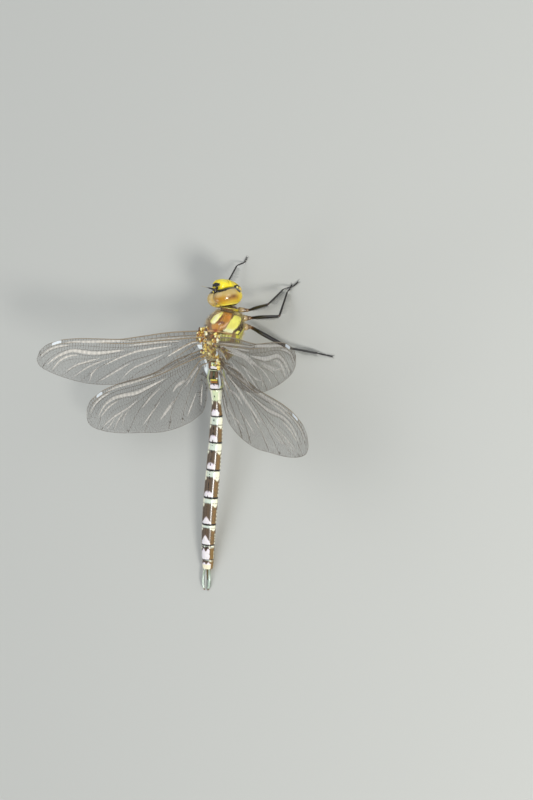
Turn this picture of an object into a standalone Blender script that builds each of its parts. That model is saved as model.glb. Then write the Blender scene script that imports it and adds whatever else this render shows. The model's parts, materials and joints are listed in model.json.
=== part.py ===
"""A newly emerged male hawker dragonfly, life size, resting on its six feet and the
end of its abdomen. +Y is the way it faces, +X its right side, +Z up, and the floor
is at z = 0. Sizes below are in millimetres and MM turns them into metres.

The body is worked out from front to back in the frame of the thorax, whose centre
stands at CENTRE. The head sits in its own turned frame. Every abdomen segment hangs
on the end of the one before, and each leg runs through its hinge, knee, ankle and toe.
"""

import math

import bmesh
import bpy
from mathutils import Euler, Matrix, Vector

MM = 0.001
GAP = 0.12  # clearance between neighbouring plates
SIDES = {"L": -1, "R": 1}

# thorax
CENTRE = Vector((0.5, 21.72, 9.85))  # of the thorax, over the middle of the model's box
THORAX_PITCH = math.radians(3.0)
# distance forward, top, bottom, half width
THORAX_STATIONS = (
    (4.5, 2.2, -3.3, 1.9),
    (3.9, 2.9, -4.3, 2.7),
    (2.6, 3.9, -5.0, 3.35),
    (0.8, 4.7, -5.2, 3.75),
    (-1.2, 5.0, -4.7, 3.85),
    (-3.2, 4.9, -4.0, 3.75),
    (-5.0, 4.5, -3.1, 3.45),
    (-6.6, 3.9, -2.1, 2.95),
    (-7.3, 3.4, -1.1, 2.4),
)

# abdomen: length, downward pitch in degrees, half widths at front, middle and rear, height over width
ABDOMEN_START = Vector((0.0, -7.75, 1.15))
ABDOMEN_TWIST = 18.0  # degrees about its length, its top leaning to the right, reached at the third segment
ABDOMEN = (
    (1.6, 10.0, (1.75, 1.8, 1.8), 1.06),
    (4.8, 15.0, (1.75, 1.95, 1.6), 1.06),
    (6.6, 16.0, (1.5, 1.12, 1.45), 1.08),
    (6.3, 11.0, (1.48, 1.58, 1.66), 0.98),
    (6.6, 8.0, (1.66, 1.7, 1.74), 0.95),
    (6.6, 8.0, (1.74, 1.77, 1.8), 0.93),
    (6.4, 9.5, (1.8, 1.79, 1.76), 0.92),
    (4.9, 11.0, (1.74, 1.7, 1.66), 0.9),
    (3.5, 13.5, (1.62, 1.58, 1.52), 0.88),
    (2.3, 14.5, (1.48, 1.42, 1.28), 0.86),
)
CERCUS_LENGTH = 5.2
EPIPROCT_LENGTH = 3.0

# head frame: place from the thorax centre, and how it is turned in degrees
HEAD_PLACE = Vector((-0.5, 8.4, 1.45))
HEAD_PITCH, HEAD_ROLL, HEAD_YAW = 16.0, -13.0, 8.5
EYE_CENTRE, EYE_SIZE = Vector((1.5, -0.9, 0.45)), Vector((2.85, 2.4, 3.6))
CORE_CENTRE, CORE_SIZE = Vector((0.0, -0.95, -0.1)), Vector((2.5, 1.7, 3.1))
HOLLOW_CENTRE, HOLLOW_SIZE = Vector((0.0, -4.2, -0.3)), Vector((3.3, 2.15, 3.1))
# height, half width, centre forward, half depth
FACE_STATIONS = (
    (-1.25, 2.2, 1.6, 1.35),
    (-0.4, 2.3, 1.75, 1.45),
    (0.6, 2.3, 1.85, 1.55),
    (1.5, 2.2, 1.85, 1.55),
    (2.1, 1.95, 1.8, 1.4),
    (2.42, 1.35, 1.75, 0.9),
)
LABRUM_STATIONS = (
    (-3.5, 0.9, 0.5, 0.65),
    (-3.15, 1.5, 0.8, 0.95),
    (-2.3, 1.95, 1.2, 1.2),
    (-1.38, 2.12, 1.5, 1.3),
)
ANTENNA_BASE = Vector((0.95, 1.45, 2.8))
ANTENNA_TIP = {"L": Vector((2.7, 2.6, 4.9)), "R": Vector((3.3, 2.3, 2.9))}

# wings: root from the thorax centre, then backward sweep, elevation and nose-up pitch in degrees
WING_THICK = 0.5
FORE_LENGTH, HIND_LENGTH = 46.5, 44.9
WINGS = {
    "forewing_L": ((3.8, -1.5, 4.05), (11.8, 13.9, 0.05)),
    "forewing_R": ((3.3, -2.3, 4.7), (-0.9, 23.2, 1.5)),
    "hindwing_L": ((3.55, -5.5, 2.95), (22.9, -2.9, 14.2)),
    "hindwing_R": ((3.5, -6.9, 3.55), (15.0, 14.3, 21.1)),
}
# wing hinges: inner end from the thorax centre, half length and half height there
HINGES = {
    "forewing_L": ((1.5, -2.2, 3.5), 1.45, 0.8),
    "forewing_R": ((1.2, -2.7, 3.9), 1.35, 0.8),
    "hindwing_L": ((1.7, -5.3, 2.6), 1.25, 0.75),
    "hindwing_R": ((1.2, -6.2, 2.6), 1.0, 0.7),
}
# fractions of the wing's length: out along the span, back along the chord
FORE_FRONT = (
    (0.0, -0.008), (0.2, -0.009), (0.36, 0.002), (0.49, 0.009), (0.62, 0.0), (0.75, -0.008), (0.9, 0.004),
    (0.965, 0.03), (0.99, 0.057), (1.0, 0.086),
)
FORE_BACK = (
    (0.0, 0.05), (0.03, 0.085), (0.13, 0.145), (0.28, 0.203), (0.45, 0.24), (0.64, 0.236), (0.8, 0.2),
    (0.92, 0.157), (0.965, 0.135), (0.988, 0.115), (1.0, 0.092),
)
HIND_FRONT = (
    (0.0, 0.0), (0.2, -0.004), (0.41, 0.014), (0.55, 0.004), (0.7, -0.007), (0.88, 0.006), (0.955, 0.036),
    (0.988, 0.075), (1.0, 0.112),
)
HIND_BACK = (
    (0.0, 0.05), (0.03, 0.165), (0.1, 0.287), (0.18, 0.322), (0.3, 0.336), (0.45, 0.327), (0.62, 0.287),
    (0.78, 0.245), (0.91, 0.195), (0.96, 0.167), (0.987, 0.142), (1.0, 0.117),
)

# coxae: socket and hinge from the thorax centre, half thickness of the leg
COXAE = {
    "fore": ((1.3, 5.15, -3.1), (2.6, 5.3, -4.2), 0.36),
    "mid": ((2.08, 3.35, -4.0), (2.9, 3.6, -5.0), 0.42),
    "hind": ((2.45, 1.35, -4.45), (2.95, 1.5, -5.3), 0.48),
}
# knee, ankle and toe from the point of the floor below the thorax centre
LEGS = {
    "fore_R": ((9.2, 7.5, 6.6), (8.7, 11.8, 2.0), (11.3, 14.1, 0.19)),
    "mid_R": ((11.2, 5.25, 4.25), (9.0, 11.4, 0.8), (9.4, 13.2, 0.19)),
    "hind_R": ((14.3, -1.6, 2.45), (22.4, -1.7, 1.0), (26.4, -1.85, 0.19)),
    "fore_L": ((-7.6, 10.5, 4.8), (-7.9, 15.9, 2.1), (-7.0, 18.2, 0.19)),
    "mid_L": ((-10.6, 1.5, 1.9), (-13.5, -5.2, 0.95), (-14.5, -8.5, 0.19)),
    "hind_L": ((-10.4, -8.3, 3.7), (-8.6, -15.9, 1.0), (-6.9, -18.9, 0.19)),
}

# colour, roughness
FINISHES = {
    "eye": ((0.62, 0.36, 0.08), 0.25),
    "yellow": ((0.85, 0.72, 0.08), 0.4),
    "brown": ((0.38, 0.22, 0.09), 0.35),
    "dark": ((0.03, 0.025, 0.02), 0.3),
    "banded": ((0.5, 0.47, 0.4), 0.35),
    "pale": ((0.55, 0.6, 0.5), 0.4),
    "wing": ((0.7, 0.67, 0.6), 0.2),
}


def start_scene():
    """An empty file with one collection for the parts and one for the cutters."""
    for old in list(bpy.data.objects):
        bpy.data.objects.remove(old, do_unlink=True)
    folders = []
    for title in ("dragonfly", "cutters"):
        folder = bpy.data.collections.new(title)
        bpy.context.scene.collection.children.link(folder)
        folders.append(folder)
    return folders


def make_object(name, bm, finish):
    """A smooth-shaded part with its own material, from a bmesh in millimetres."""
    bmesh.ops.scale(bm, vec=(MM, MM, MM), verts=bm.verts)
    bmesh.ops.recalc_face_normals(bm, faces=bm.faces)
    mesh = bpy.data.meshes.new(name)
    bm.to_mesh(mesh)
    bm.free()
    mesh.shade_smooth()
    mesh.set_sharp_from_angle(angle=math.radians(50))
    part = bpy.data.objects.new(name, mesh)
    parts.objects.link(part)
    colour, roughness = FINISHES[finish]
    material = bpy.data.materials.new(name)
    material.use_nodes = True
    shader = material.node_tree.nodes["Principled BSDF"]
    shader.inputs["Base Color"].default_value = (*colour, 1.0)
    shader.inputs["Roughness"].default_value = roughness
    shader.inputs["Metallic"].default_value = 0.0
    mesh.materials.append(material)
    return part


def place(part, origin, turn=None, parent=None):
    """Puts a part at a point in millimetres, turned by a rotation matrix, under a parent."""
    part.rotation_euler = turn.to_euler() if turn else Euler()
    part.location = Vector(origin) * MM
    part.parent = parent or stance


def frame_empty(name, origin, turn):
    """An empty whose frame a group of parts is modelled in."""
    empty = bpy.data.objects.new(name, None)
    parts.objects.link(empty)
    place(empty, origin, turn)
    return empty


def oval(centre, across, up, half_width, half_height, count=16):
    """Points of an ellipse around a centre, in the plane of two unit vectors."""
    points = []
    for i in range(count):
        angle = 2 * math.pi * i / count
        points.append(centre + across * (half_width * math.cos(angle)) + up * (half_height * math.sin(angle)))
    return points


def loft(rings):
    """A closed skin through rings of as many points each, with a flat face at both ends."""
    bm = bmesh.new()
    loops = [[bm.verts.new(point) for point in ring] for ring in rings]
    count = len(loops[0])
    for near, far in zip(loops, loops[1:]):
        for i in range(count):
            after = (i + 1) % count
            bm.faces.new((near[i], near[after], far[after], far[i]))
    bm.faces.new(loops[0])
    bm.faces.new(loops[-1])
    return bm


def ellipsoid(name, centre, size, finish="brown", detail=(12, 8)):
    """A stretched ball at a centre, with three half sizes."""
    bm = bmesh.new()
    bmesh.ops.create_uvsphere(bm, u_segments=detail[0], v_segments=detail[1], radius=1.0)
    bmesh.ops.scale(bm, vec=size, verts=bm.verts)
    bmesh.ops.translate(bm, vec=centre, verts=bm.verts)
    return make_object(name, bm, finish)


def as_cutter(part):
    """Moves a shape to the cutters, out of the model."""
    parts.objects.unlink(part)
    cutters.objects.link(part)
    part.hide_render = True
    part.display_type = "WIRE"
    return part


def boolean(part, other, operation):
    """Joins a shape to a part, or cuts it away, exactly."""
    step = part.modifiers.new(other.name, "BOOLEAN")
    step.operation = operation
    step.solver = "EXACT"
    step.object = other


def tube(name, points, radii, finish, resolution=1):
    """A round limb along points in millimetres, with a half thickness at each and closed ends."""
    curve = bpy.data.curves.new(name, "CURVE")
    curve.dimensions = "3D"
    curve.bevel_depth = MM
    curve.bevel_resolution = resolution
    curve.use_fill_caps = True
    line = curve.splines.new("POLY")
    line.points.add(len(points) - 1)
    for spot, point, radius in zip(line.points, points, radii):
        spot.co = (*(point * MM), 1.0)
        spot.radius = radius
    source = bpy.data.objects.new(name + "_curve", curve)
    cutters.objects.link(source)
    bpy.context.view_layer.update()
    mesh = bpy.data.meshes.new_from_object(source.evaluated_get(bpy.context.evaluated_depsgraph_get()))
    bm = bmesh.new()
    bm.from_mesh(mesh)
    bmesh.ops.remove_doubles(bm, verts=bm.verts, dist=MM * 0.001)
    bmesh.ops.scale(bm, vec=(1 / MM, 1 / MM, 1 / MM), verts=bm.verts)
    bpy.data.objects.remove(source, do_unlink=True)
    bpy.data.meshes.remove(mesh)
    return make_object(name, bm, finish)


def trim_at_floor(part):
    """Cuts a small flat where a part meets the floor."""
    bpy.context.view_layer.update()
    to_part = part.matrix_world.inverted()
    bm = bmesh.new()
    bm.from_mesh(part.data)
    geometry = bm.verts[:] + bm.edges[:] + bm.faces[:]
    floor_point = to_part @ Vector((0, 0, 0))
    floor_normal = (to_part.to_3x3() @ Vector((0, 0, 1))).normalized()
    cut = bmesh.ops.bisect_plane(
        bm, geom=geometry, plane_co=floor_point, plane_no=floor_normal, dist=MM * 1e-4, clear_inner=True
    )
    rim = [edge for edge in cut["geom_cut"] if isinstance(edge, bmesh.types.BMEdge)]
    if rim:
        bmesh.ops.contextual_create(bm, geom=rim)
    bmesh.ops.recalc_face_normals(bm, faces=bm.faces)
    bm.to_mesh(part.data)
    bm.free()


def curve_through(knots, where):
    """The height of a smooth curve through (x, y) knots at x = where."""
    for i, (left, right) in enumerate(zip(knots, knots[1:])):
        if where <= right[0] or i == len(knots) - 2:
            break
    before = knots[i - 1] if i else left
    after = knots[i + 2] if i + 2 < len(knots) else right
    span = right[0] - left[0]
    slope_left = (right[1] - before[1]) / (right[0] - before[0])
    slope_right = (after[1] - left[1]) / (after[0] - left[0])
    u = (where - left[0]) / span
    return (
        left[1] * (1 + 2 * u) * (1 - u) ** 2
        + slope_left * span * u * (1 - u) ** 2
        + right[1] * u * u * (3 - 2 * u)
        + slope_right * span * u * u * (u - 1)
    )


def thorax_block(name, margin=0.0):
    """The pterothorax, a deep box leaning back from the legs to the wings, widened by a margin."""
    rings = []
    for forward, top, bottom, half_width in THORAX_STATIONS:
        middle = Vector((0, forward, (top + bottom) / 2))
        half_height = (top - bottom) / 2 + margin
        rings.append(oval(middle, Vector((1, 0, 0)), Vector((0, 0, 1)), half_width + margin, half_height, 24))
    return make_object(name, loft(rings), "brown")


def make_thorax(frame):
    """The pterothorax, with the collar and neck in front of it."""
    place(thorax_block("thorax"), (0, 0, 0), parent=frame)
    collar = [
        oval(Vector((0, y, z)), Vector((1, 0, 0)), Vector((0, 0, 1)), width, height)
        for y, z, width, height in ((4.62, -0.6, 1.7, 2.3), (5.1, -0.8, 1.85, 2.45), (5.6, -0.4, 1.4, 1.75))
    ]
    place(make_object("prothorax", loft(collar), "brown"), (0, 0, 0), parent=frame)
    neck = [
        oval(Vector((x, y, z)), Vector((1, 0, 0)), Vector((0, 0, 1)), 0.75, 0.75, 12)
        for x, y, z in ((0, 5.75, 0.2), (-0.1, 5.95, 0.35), (-0.2, 6.15, 0.5))
    ]
    place(make_object("neck", loft(neck), "brown"), (0, 0, 0), parent=frame)


def make_abdomen(thorax_turn):
    """Ten rings, each hung on the end of the one before it, with the claspers behind."""
    front = thorax_turn @ ABDOMEN_START + Vector((0, 0, CENTRE.z))
    across, up = Vector((1, 0, 0)), Vector((0, 0, 1))
    for number, (length, pitch, widths, tallness) in enumerate(ABDOMEN, 1):
        twist = ABDOMEN_TWIST * min(number / 3, 1.0)
        turn = Matrix.Rotation(math.radians(pitch), 3, "X") @ Matrix.Rotation(math.radians(twist), 3, "Y")
        last = length - GAP
        knots = ((0.0, widths[0]), (length / 2, widths[1]), (last, widths[2]))
        rings = []
        for share in (0.0, 0.04, 0.25, 0.5, 0.75, 0.96, 1.0):
            back = share * last
            half = curve_through(knots, back) * (0.93 if share in (0.0, 1.0) else 1.0)
            half += 0.3 * math.exp(-(((share - 0.42) / 0.14) ** 2)) if number == 2 else 0.0
            rings.append(oval(Vector((0, -back, 0)), across, up, half, half * tallness))
        segment = make_object(f"abdomen_s{number:02d}", loft(rings), "banded")
        place(segment, front, turn)
        if number == len(ABDOMEN):
            trim_at_floor(segment)
        front = front + turn @ Vector((0, -length, 0))
    for letter, side in SIDES.items():
        rings = []
        for share, half_width, half_height, out in (
            (0.0, 0.26, 0.3, 0.62), (0.2, 0.28, 0.3, 0.66), (0.45, 0.5, 0.27, 0.74),
            (0.75, 0.55, 0.26, 0.72), (0.93, 0.38, 0.25, 0.58), (1.0, 0.25, 0.25, 0.5),
        ):
            middle = Vector((side * out, -CERCUS_LENGTH * share, 0.42 + 0.4 * math.sin(2 * share)))
            rings.append(oval(middle, across, up, half_width, half_height, 10))
        cercus = make_object(f"cercus_{letter}", loft(rings), "pale")
        place(cercus, front, turn)
        trim_at_floor(cercus)
    rings = []
    for share, half_width in ((0.0, 0.62), (0.5, 0.42), (1.0, 0.25)):
        middle = Vector((0, -EPIPROCT_LENGTH * share, -0.42 + 0.25 * share))
        rings.append(oval(middle, across, up, half_width, 0.26, 10))
    epiproct = make_object("epiproct", loft(rings), "brown")
    place(epiproct, front, turn)
    trim_at_floor(epiproct)


def stacked(name, stations, finish, margin=0.0):
    """A block of the face: level ovals one above another, widened by a margin."""
    lowest, highest = stations[0][0], stations[-1][0]
    rings = []
    for height, half_width, forward, half_depth in stations:
        if margin and height in (lowest, highest):
            height += margin if height == highest else -margin
        centre = Vector((0, forward, height))
        rings.append(oval(centre, Vector((1, 0, 0)), Vector((0, 1, 0)), half_width + margin, half_depth + margin))
    return make_object(name, loft(rings), finish)


def make_head(frame):
    """A capsule hollowed for the neck, with the face in front and an eye over each side."""
    grow = Vector((GAP, GAP, GAP)) * 0.6
    face_cutter = as_cutter(stacked("face_cutter", FACE_STATIONS, "yellow", GAP * 0.6))
    labrum_cutter = as_cutter(stacked("labrum_cutter", LABRUM_STATIONS, "yellow", GAP * 0.6))
    hollow = as_cutter(ellipsoid("neck_hollow", HOLLOW_CENTRE, HOLLOW_SIZE))
    capsule = ellipsoid("head", CORE_CENTRE, CORE_SIZE, "dark", (16, 12))
    bumps = (
        ("crown", Vector((0, 0.6, 1.75)), Vector((0.62, 1.2, 1.2))),
        ("vertex", Vector((0, 0.85, 2.85)), Vector((0.6, 0.5, 0.45))),
        ("occiput", Vector((0, -2.35, 2.5)), Vector((0.55, 0.5, 0.6))),
        ("cheek", Vector((0, -0.4, -2.75)), Vector((2.2, 1.6, 0.9))),
    )
    for name, centre, size in bumps:
        boolean(capsule, as_cutter(ellipsoid(name, centre, size)), "UNION")
    for cutter in (hollow, face_cutter, labrum_cutter):
        boolean(capsule, cutter, "DIFFERENCE")
    core_cutter = as_cutter(ellipsoid("core_cutter", CORE_CENTRE, CORE_SIZE + grow, detail=(16, 12)))
    room = [core_cutter, hollow, face_cutter, labrum_cutter]
    for name, centre, size in bumps:
        room.append(as_cutter(ellipsoid(name + "_room", centre, size + grow)))
    for letter, side in SIDES.items():
        centre = Vector((side * EYE_CENTRE.x, EYE_CENTRE.y, EYE_CENTRE.z))
        eye = ellipsoid(f"eye_{letter}", centre, EYE_SIZE, "eye", (20, 16))
        half = bmesh.new()
        bmesh.ops.create_cube(half, size=10.0)
        bmesh.ops.translate(half, vec=(-side * (5.0 - GAP / 3), 0, 0), verts=half.verts)
        boolean(eye, as_cutter(make_object(f"other_side_{letter}", half, "dark")), "DIFFERENCE")
        for cutter in room:
            boolean(eye, cutter, "DIFFERENCE")
        place(eye, (0, 0, 0), parent=frame)
        feeler = [Vector((side * spot.x, spot.y, spot.z)) for spot in (ANTENNA_BASE, ANTENNA_TIP[letter])]
        feeler.insert(1, feeler[0].lerp(feeler[1], 0.45) + Vector((0, 0.1, 0.2)))
        place(tube(f"antenna_{letter}", feeler, (0.27, 0.25, 0.25), "dark"), (0, 0, 0), parent=frame)
    place(capsule, (0, 0, 0), parent=frame)
    place(stacked("face", FACE_STATIONS, "yellow"), (0, 0, 0), parent=frame)
    place(stacked("labrum", LABRUM_STATIONS, "yellow"), (0, 0, 0), parent=frame)
    for cutter in cutters.objects:
        place(cutter, (0, 0, 0), parent=frame)


def wing_turn(name, side):
    """How a wing is turned on the stance."""
    sweep, lift, pitch = (math.radians(angle) for angle in WINGS[name][1])
    return (
        Matrix.Rotation(-side * sweep, 3, "Z")
        @ Matrix.Rotation(-side * lift, 3, "Y")
        @ Matrix.Rotation(pitch, 3, "X")
    )


def make_hinge(name, frame, side, length, front, back, room):
    """The leathery lump between the back and a wing's root, flattening towards the wing."""
    root = frame @ Vector((side * WINGS[name][0][0], *WINGS[name][0][1:]))
    (x, y, z), half_length, half_height = HINGES[name]
    inner = frame @ Vector((side * x, y, z))
    turn = wing_turn(name, side)
    ahead, behind = front[0][1] * length, back[0][1] * length
    outer = root + turn @ Vector((-side * GAP, -(ahead + behind) / 2, 0.1))
    rings = []
    for share, fullness in ((0.0, 1.0), (0.45, 1.12), (0.75, 1.0), (1.0, 0.9)):
        across = (frame @ Vector((0, 1, 0))).lerp(turn @ Vector((0, 1, 0)), share).normalized()
        up = (frame @ Vector((0, 0, 1))).lerp(turn @ Vector((0, 0, 1)), share).normalized()
        half_depth = half_length + ((behind - ahead) / 2 - half_length) * share
        half_rise = half_height + (0.5 - half_height) * share
        rings.append(oval(inner.lerp(outer, share), across, up, half_depth * fullness, half_rise * fullness, 14))
    hinge = make_object(f"hinge_{name}", loft(rings), "brown")
    place(hinge, (0, 0, CENTRE.z))
    boolean(hinge, room, "DIFFERENCE")


def make_wing(name, frame, side, length, front, back):
    """A thin plate between its front and back edges, folded at the front and gently arched."""
    bm = bmesh.new()
    chords = (0.0, 0.07, 0.16, 0.3, 0.55, 0.8, 1.0)
    rows = []
    for share in (0.0, 0.03, 0.07, 0.13, 0.2, 0.3, 0.4, 0.5, 0.6, 0.7, 0.8, 0.88, 0.93, 0.965, 0.988, 1.0):
        ahead, behind = curve_through(front, share), curve_through(back, share)
        row = []
        for chord in chords:
            fold = -0.45 if chord == 0.07 else 0.0
            rise = (1 - share) * (fold + 0.5 * math.sin(math.pi * chord))
            row.append(bm.verts.new((side * share * length, -(ahead + (behind - ahead) * chord) * length, rise)))
        rows.append(row)
    for near, far in zip(rows, rows[1:]):
        for i in range(len(chords) - 1):
            corners = (near[i], near[i + 1], far[i + 1], far[i])
            bm.faces.new(corners if side < 0 else tuple(reversed(corners)))
    wing = make_object(name, bm, "wing")
    plate = wing.modifiers.new("thickness", "SOLIDIFY")
    plate.thickness = WING_THICK * MM
    plate.offset = 0.0
    plate.use_even_offset = True
    root = frame @ Vector((side * WINGS[name][0][0], *WINGS[name][0][1:]))
    place(wing, root + Vector((0, 0, CENTRE.z)), wing_turn(name, side))


def limb(name, start, end, radii, finish="dark", trim_start=GAP, trim_end=GAP):
    """A tapered bone from joint to joint, with its own origin at its first joint."""
    axis = (end - start).normalized()
    length = (end - start).length
    points = [
        axis * (trim_start + (length - trim_start - trim_end) * i / (len(radii) - 1)) for i in range(len(radii))
    ]
    place(tube(name, points, radii, finish), start)


def make_leg(name, turn):
    """Coxa, femur, tibia and foot, with a small flat under the foot."""
    pair, letter = name.split("_")
    socket, hinge, thick = COXAE[pair]
    side = SIDES[letter]
    socket, hinge = (turn @ Vector((side * x, y, z)) + Vector((0, 0, CENTRE.z)) for x, y, z in (socket, hinge))
    knee, ankle, toe = (Vector(joint) for joint in LEGS[name])
    limb(f"coxa_{name}", socket, hinge, (thick * 1.5, thick * 1.6, thick * 1.1), "brown", trim_start=0.0)
    thigh = (thick * 0.9, thick * 1.15, thick, thick * 0.8)
    limb(f"femur_{name}", hinge, knee, thigh, trim_start=0.35, trim_end=0.45)
    shin = (thick * 0.72, thick * 0.7, thick * 0.62, 0.26)
    limb(f"tibia_{name}", knee, ankle, shin, trim_start=0.45)
    middle = ankle.lerp(toe, 0.5)
    middle.z = toe.z
    path = [Vector((0, 0, 0)), middle - ankle, toe - ankle]
    path[0] = path[1].normalized() * 0.35
    foot = tube(f"tarsus_{name}", path, (0.25, 0.25, 0.25), "dark")
    place(foot, ankle)
    trim_at_floor(foot)


parts, cutters = start_scene()
stance = bpy.data.objects.new("stance", None)
parts.objects.link(stance)
stance.location = Vector((CENTRE.x, CENTRE.y, 0)) * MM

thorax_turn = Matrix.Rotation(THORAX_PITCH, 3, "X")
thorax_frame = frame_empty("thorax_frame", (0, 0, CENTRE.z), thorax_turn)
make_thorax(thorax_frame)
make_abdomen(thorax_turn)
head_turn = (
    Matrix.Rotation(math.radians(HEAD_YAW), 3, "Z")
    @ Matrix.Rotation(math.radians(HEAD_ROLL), 3, "Y")
    @ Matrix.Rotation(math.radians(HEAD_PITCH), 3, "X")
)
make_head(frame_empty("head_frame", HEAD_PLACE + Vector((0, 0, CENTRE.z)), head_turn))
hinge_room = as_cutter(thorax_block("hinge_room", GAP))
place(hinge_room, (0, 0, 0), parent=thorax_frame)
for letter, side in SIDES.items():
    for pair, shape in (
        ("forewing", (FORE_LENGTH, FORE_FRONT, FORE_BACK)),
        ("hindwing", (HIND_LENGTH, HIND_FRONT, HIND_BACK)),
    ):
        make_wing(f"{pair}_{letter}", thorax_turn, side, *shape)
        make_hinge(f"{pair}_{letter}", thorax_turn, side, *shape, hinge_room)
for leg in LEGS:
    make_leg(leg, thorax_turn)
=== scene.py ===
# %% [markdown]
# # A hawker dragonfly, just out of its larval skin
# A fresh hawker hangs still while its wings harden. Its shell is pale and shiny, its
# wings are clear and creased, and its banded abdomen is straight at last. The packed
# solids give every plate's place. Here each plate is modelled again, finer, with the
# sculpted relief, the painted markings, the veins, spines and hairs of the real insect.

# %% Load the frame
import json
import math
import random

import bpy
import numpy as np
from mathutils import Matrix, Vector
from mathutils.geometry import delaunay_2d_cdt

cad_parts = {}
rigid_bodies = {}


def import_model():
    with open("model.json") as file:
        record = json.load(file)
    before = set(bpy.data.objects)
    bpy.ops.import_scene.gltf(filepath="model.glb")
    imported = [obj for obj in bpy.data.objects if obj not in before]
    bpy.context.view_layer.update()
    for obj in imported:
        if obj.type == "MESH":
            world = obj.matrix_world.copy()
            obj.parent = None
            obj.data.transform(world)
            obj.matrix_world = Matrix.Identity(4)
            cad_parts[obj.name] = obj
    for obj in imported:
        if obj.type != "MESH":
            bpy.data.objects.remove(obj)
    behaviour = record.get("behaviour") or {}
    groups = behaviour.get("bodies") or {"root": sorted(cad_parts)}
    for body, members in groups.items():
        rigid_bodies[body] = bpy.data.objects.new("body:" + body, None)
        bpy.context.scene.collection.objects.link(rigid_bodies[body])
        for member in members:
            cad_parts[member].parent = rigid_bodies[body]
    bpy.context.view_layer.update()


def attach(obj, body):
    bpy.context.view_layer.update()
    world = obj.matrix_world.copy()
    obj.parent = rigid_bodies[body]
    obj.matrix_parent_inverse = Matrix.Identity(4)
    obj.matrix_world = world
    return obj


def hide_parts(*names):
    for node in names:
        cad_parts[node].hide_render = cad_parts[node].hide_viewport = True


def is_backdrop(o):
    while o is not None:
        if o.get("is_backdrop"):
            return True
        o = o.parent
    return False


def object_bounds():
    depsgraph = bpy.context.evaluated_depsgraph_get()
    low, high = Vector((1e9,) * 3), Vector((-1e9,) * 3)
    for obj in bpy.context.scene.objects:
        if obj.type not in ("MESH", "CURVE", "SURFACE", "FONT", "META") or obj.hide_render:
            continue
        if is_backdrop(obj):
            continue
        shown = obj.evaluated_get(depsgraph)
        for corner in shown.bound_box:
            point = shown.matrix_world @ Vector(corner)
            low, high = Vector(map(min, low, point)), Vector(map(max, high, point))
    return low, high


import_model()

# %% [markdown]
# ## Sizes shared with the solids
# All work below is in millimetres, and each finished mesh is scaled to metres. The
# thorax is the anchor: the head, the abdomen, the wings and the legs are placed from it,
# with the same numbers as the solids, so that every new plate lies over its own solid.

# %% Places of the body's parts
MM = 0.001
CENTRE = Vector((0.5, 21.72, 9.85))  # middle of the thorax, above the floor
SIDES = {"L": -1, "R": 1}
THORAX_TURN = Matrix.Rotation(math.radians(3.0), 4, "X")
THORAX_PLACE = Matrix.Translation(CENTRE) @ THORAX_TURN
HEAD_PLACE = (
    Matrix.Translation(CENTRE + Vector((-0.5, 8.4, 1.45)))
    @ Matrix.Rotation(math.radians(8.5), 4, "Z")
    @ Matrix.Rotation(math.radians(-13.0), 4, "Y")
    @ Matrix.Rotation(math.radians(16.0), 4, "X")
)
print("thorax centre", tuple(CENTRE), "mm")

# %% [markdown]
# ## Camera, floor and light
# The insect is seen from its right, a little more than half way up. Two numbers say it:
# how far the view leans from straight above, and how far the picture is turned. A long
# lens keeps the wings in proportion. A small lamp beside the camera draws the line of
# light along the abdomen, a broad high one and one low on the insect's right fill the
# shadows with a pale sky, and a weak cool one behind on the left edges the dark shell.

# %% The camera
LEAN, TURN = math.radians(44.0), math.radians(10.6)
flat_right = Vector((math.cos(LEAN), 0, -math.sin(LEAN)))
forward = Vector((0, 1, 0))
view_back = Vector((math.sin(LEAN), 0, math.cos(LEAN)))
view_right = flat_right * math.cos(TURN) + forward * math.sin(TURN)
view_up = forward * math.cos(TURN) - flat_right * math.sin(TURN)
aim = CENTRE + view_right * 9.7525 - view_up * 16.544
eye_point = aim + view_back * 522.0

lens = bpy.data.cameras.new("camera")
lens.lens = 100.0
lens.sensor_width = 36.0
lens.clip_start, lens.clip_end = 0.01, 20.0
camera = bpy.data.objects.new("camera", lens)
bpy.context.scene.collection.objects.link(camera)
pose = Matrix((view_right, view_up, view_back)).transposed().to_4x4()
pose.translation = eye_point * MM
camera.matrix_world = pose
bpy.context.scene.camera = camera
print("camera stands at", [round(c) for c in eye_point], "mm")

# %% Lamps and sky
def lamp(name, toward, distance, size, power, colour=(1.0, 1.0, 1.0)):
    """A square soft lamp in a direction from the thorax, facing it."""
    light = bpy.data.lights.new(name, "AREA")
    light.shape = "SQUARE"
    light.size = size
    light.energy = power
    light.color = colour
    holder = bpy.data.objects.new(name, light)
    bpy.context.scene.collection.objects.link(holder)
    direction = toward.normalized()
    holder.location = CENTRE * MM + direction * distance
    holder.rotation_mode = "QUATERNION"
    holder.rotation_quaternion = direction.to_track_quat("Z", "Y")
    return holder


key_way = view_back * 0.924 + view_right * 0.24 - view_up * 0.30
lamp("key_lamp", key_way, 0.75, 0.12, 3.6, (1.0, 0.98, 0.94))
lamp("top_lamp", Vector((-0.5, 0.3, 1.0)), 0.8, 0.9, 2.2)
lamp("right_lamp", Vector((1.0, 0.35, 0.5)), 0.8, 0.5, 1.5, (1.0, 0.99, 0.95))
lamp("rim_lamp", Vector((-0.8, -0.9, 0.6)), 0.9, 0.35, 0.9, (0.95, 0.97, 1.0))
sky = bpy.data.worlds.new("sky")
sky.use_nodes = True
sky.node_tree.nodes["Background"].inputs["Color"].default_value = (0.86, 0.9, 0.95, 1.0)
sky.node_tree.nodes["Background"].inputs["Strength"].default_value = 0.36
bpy.context.scene.world = sky
bpy.context.scene.view_settings.view_transform = "Standard"
print("four lamps and a pale sky")

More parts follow.
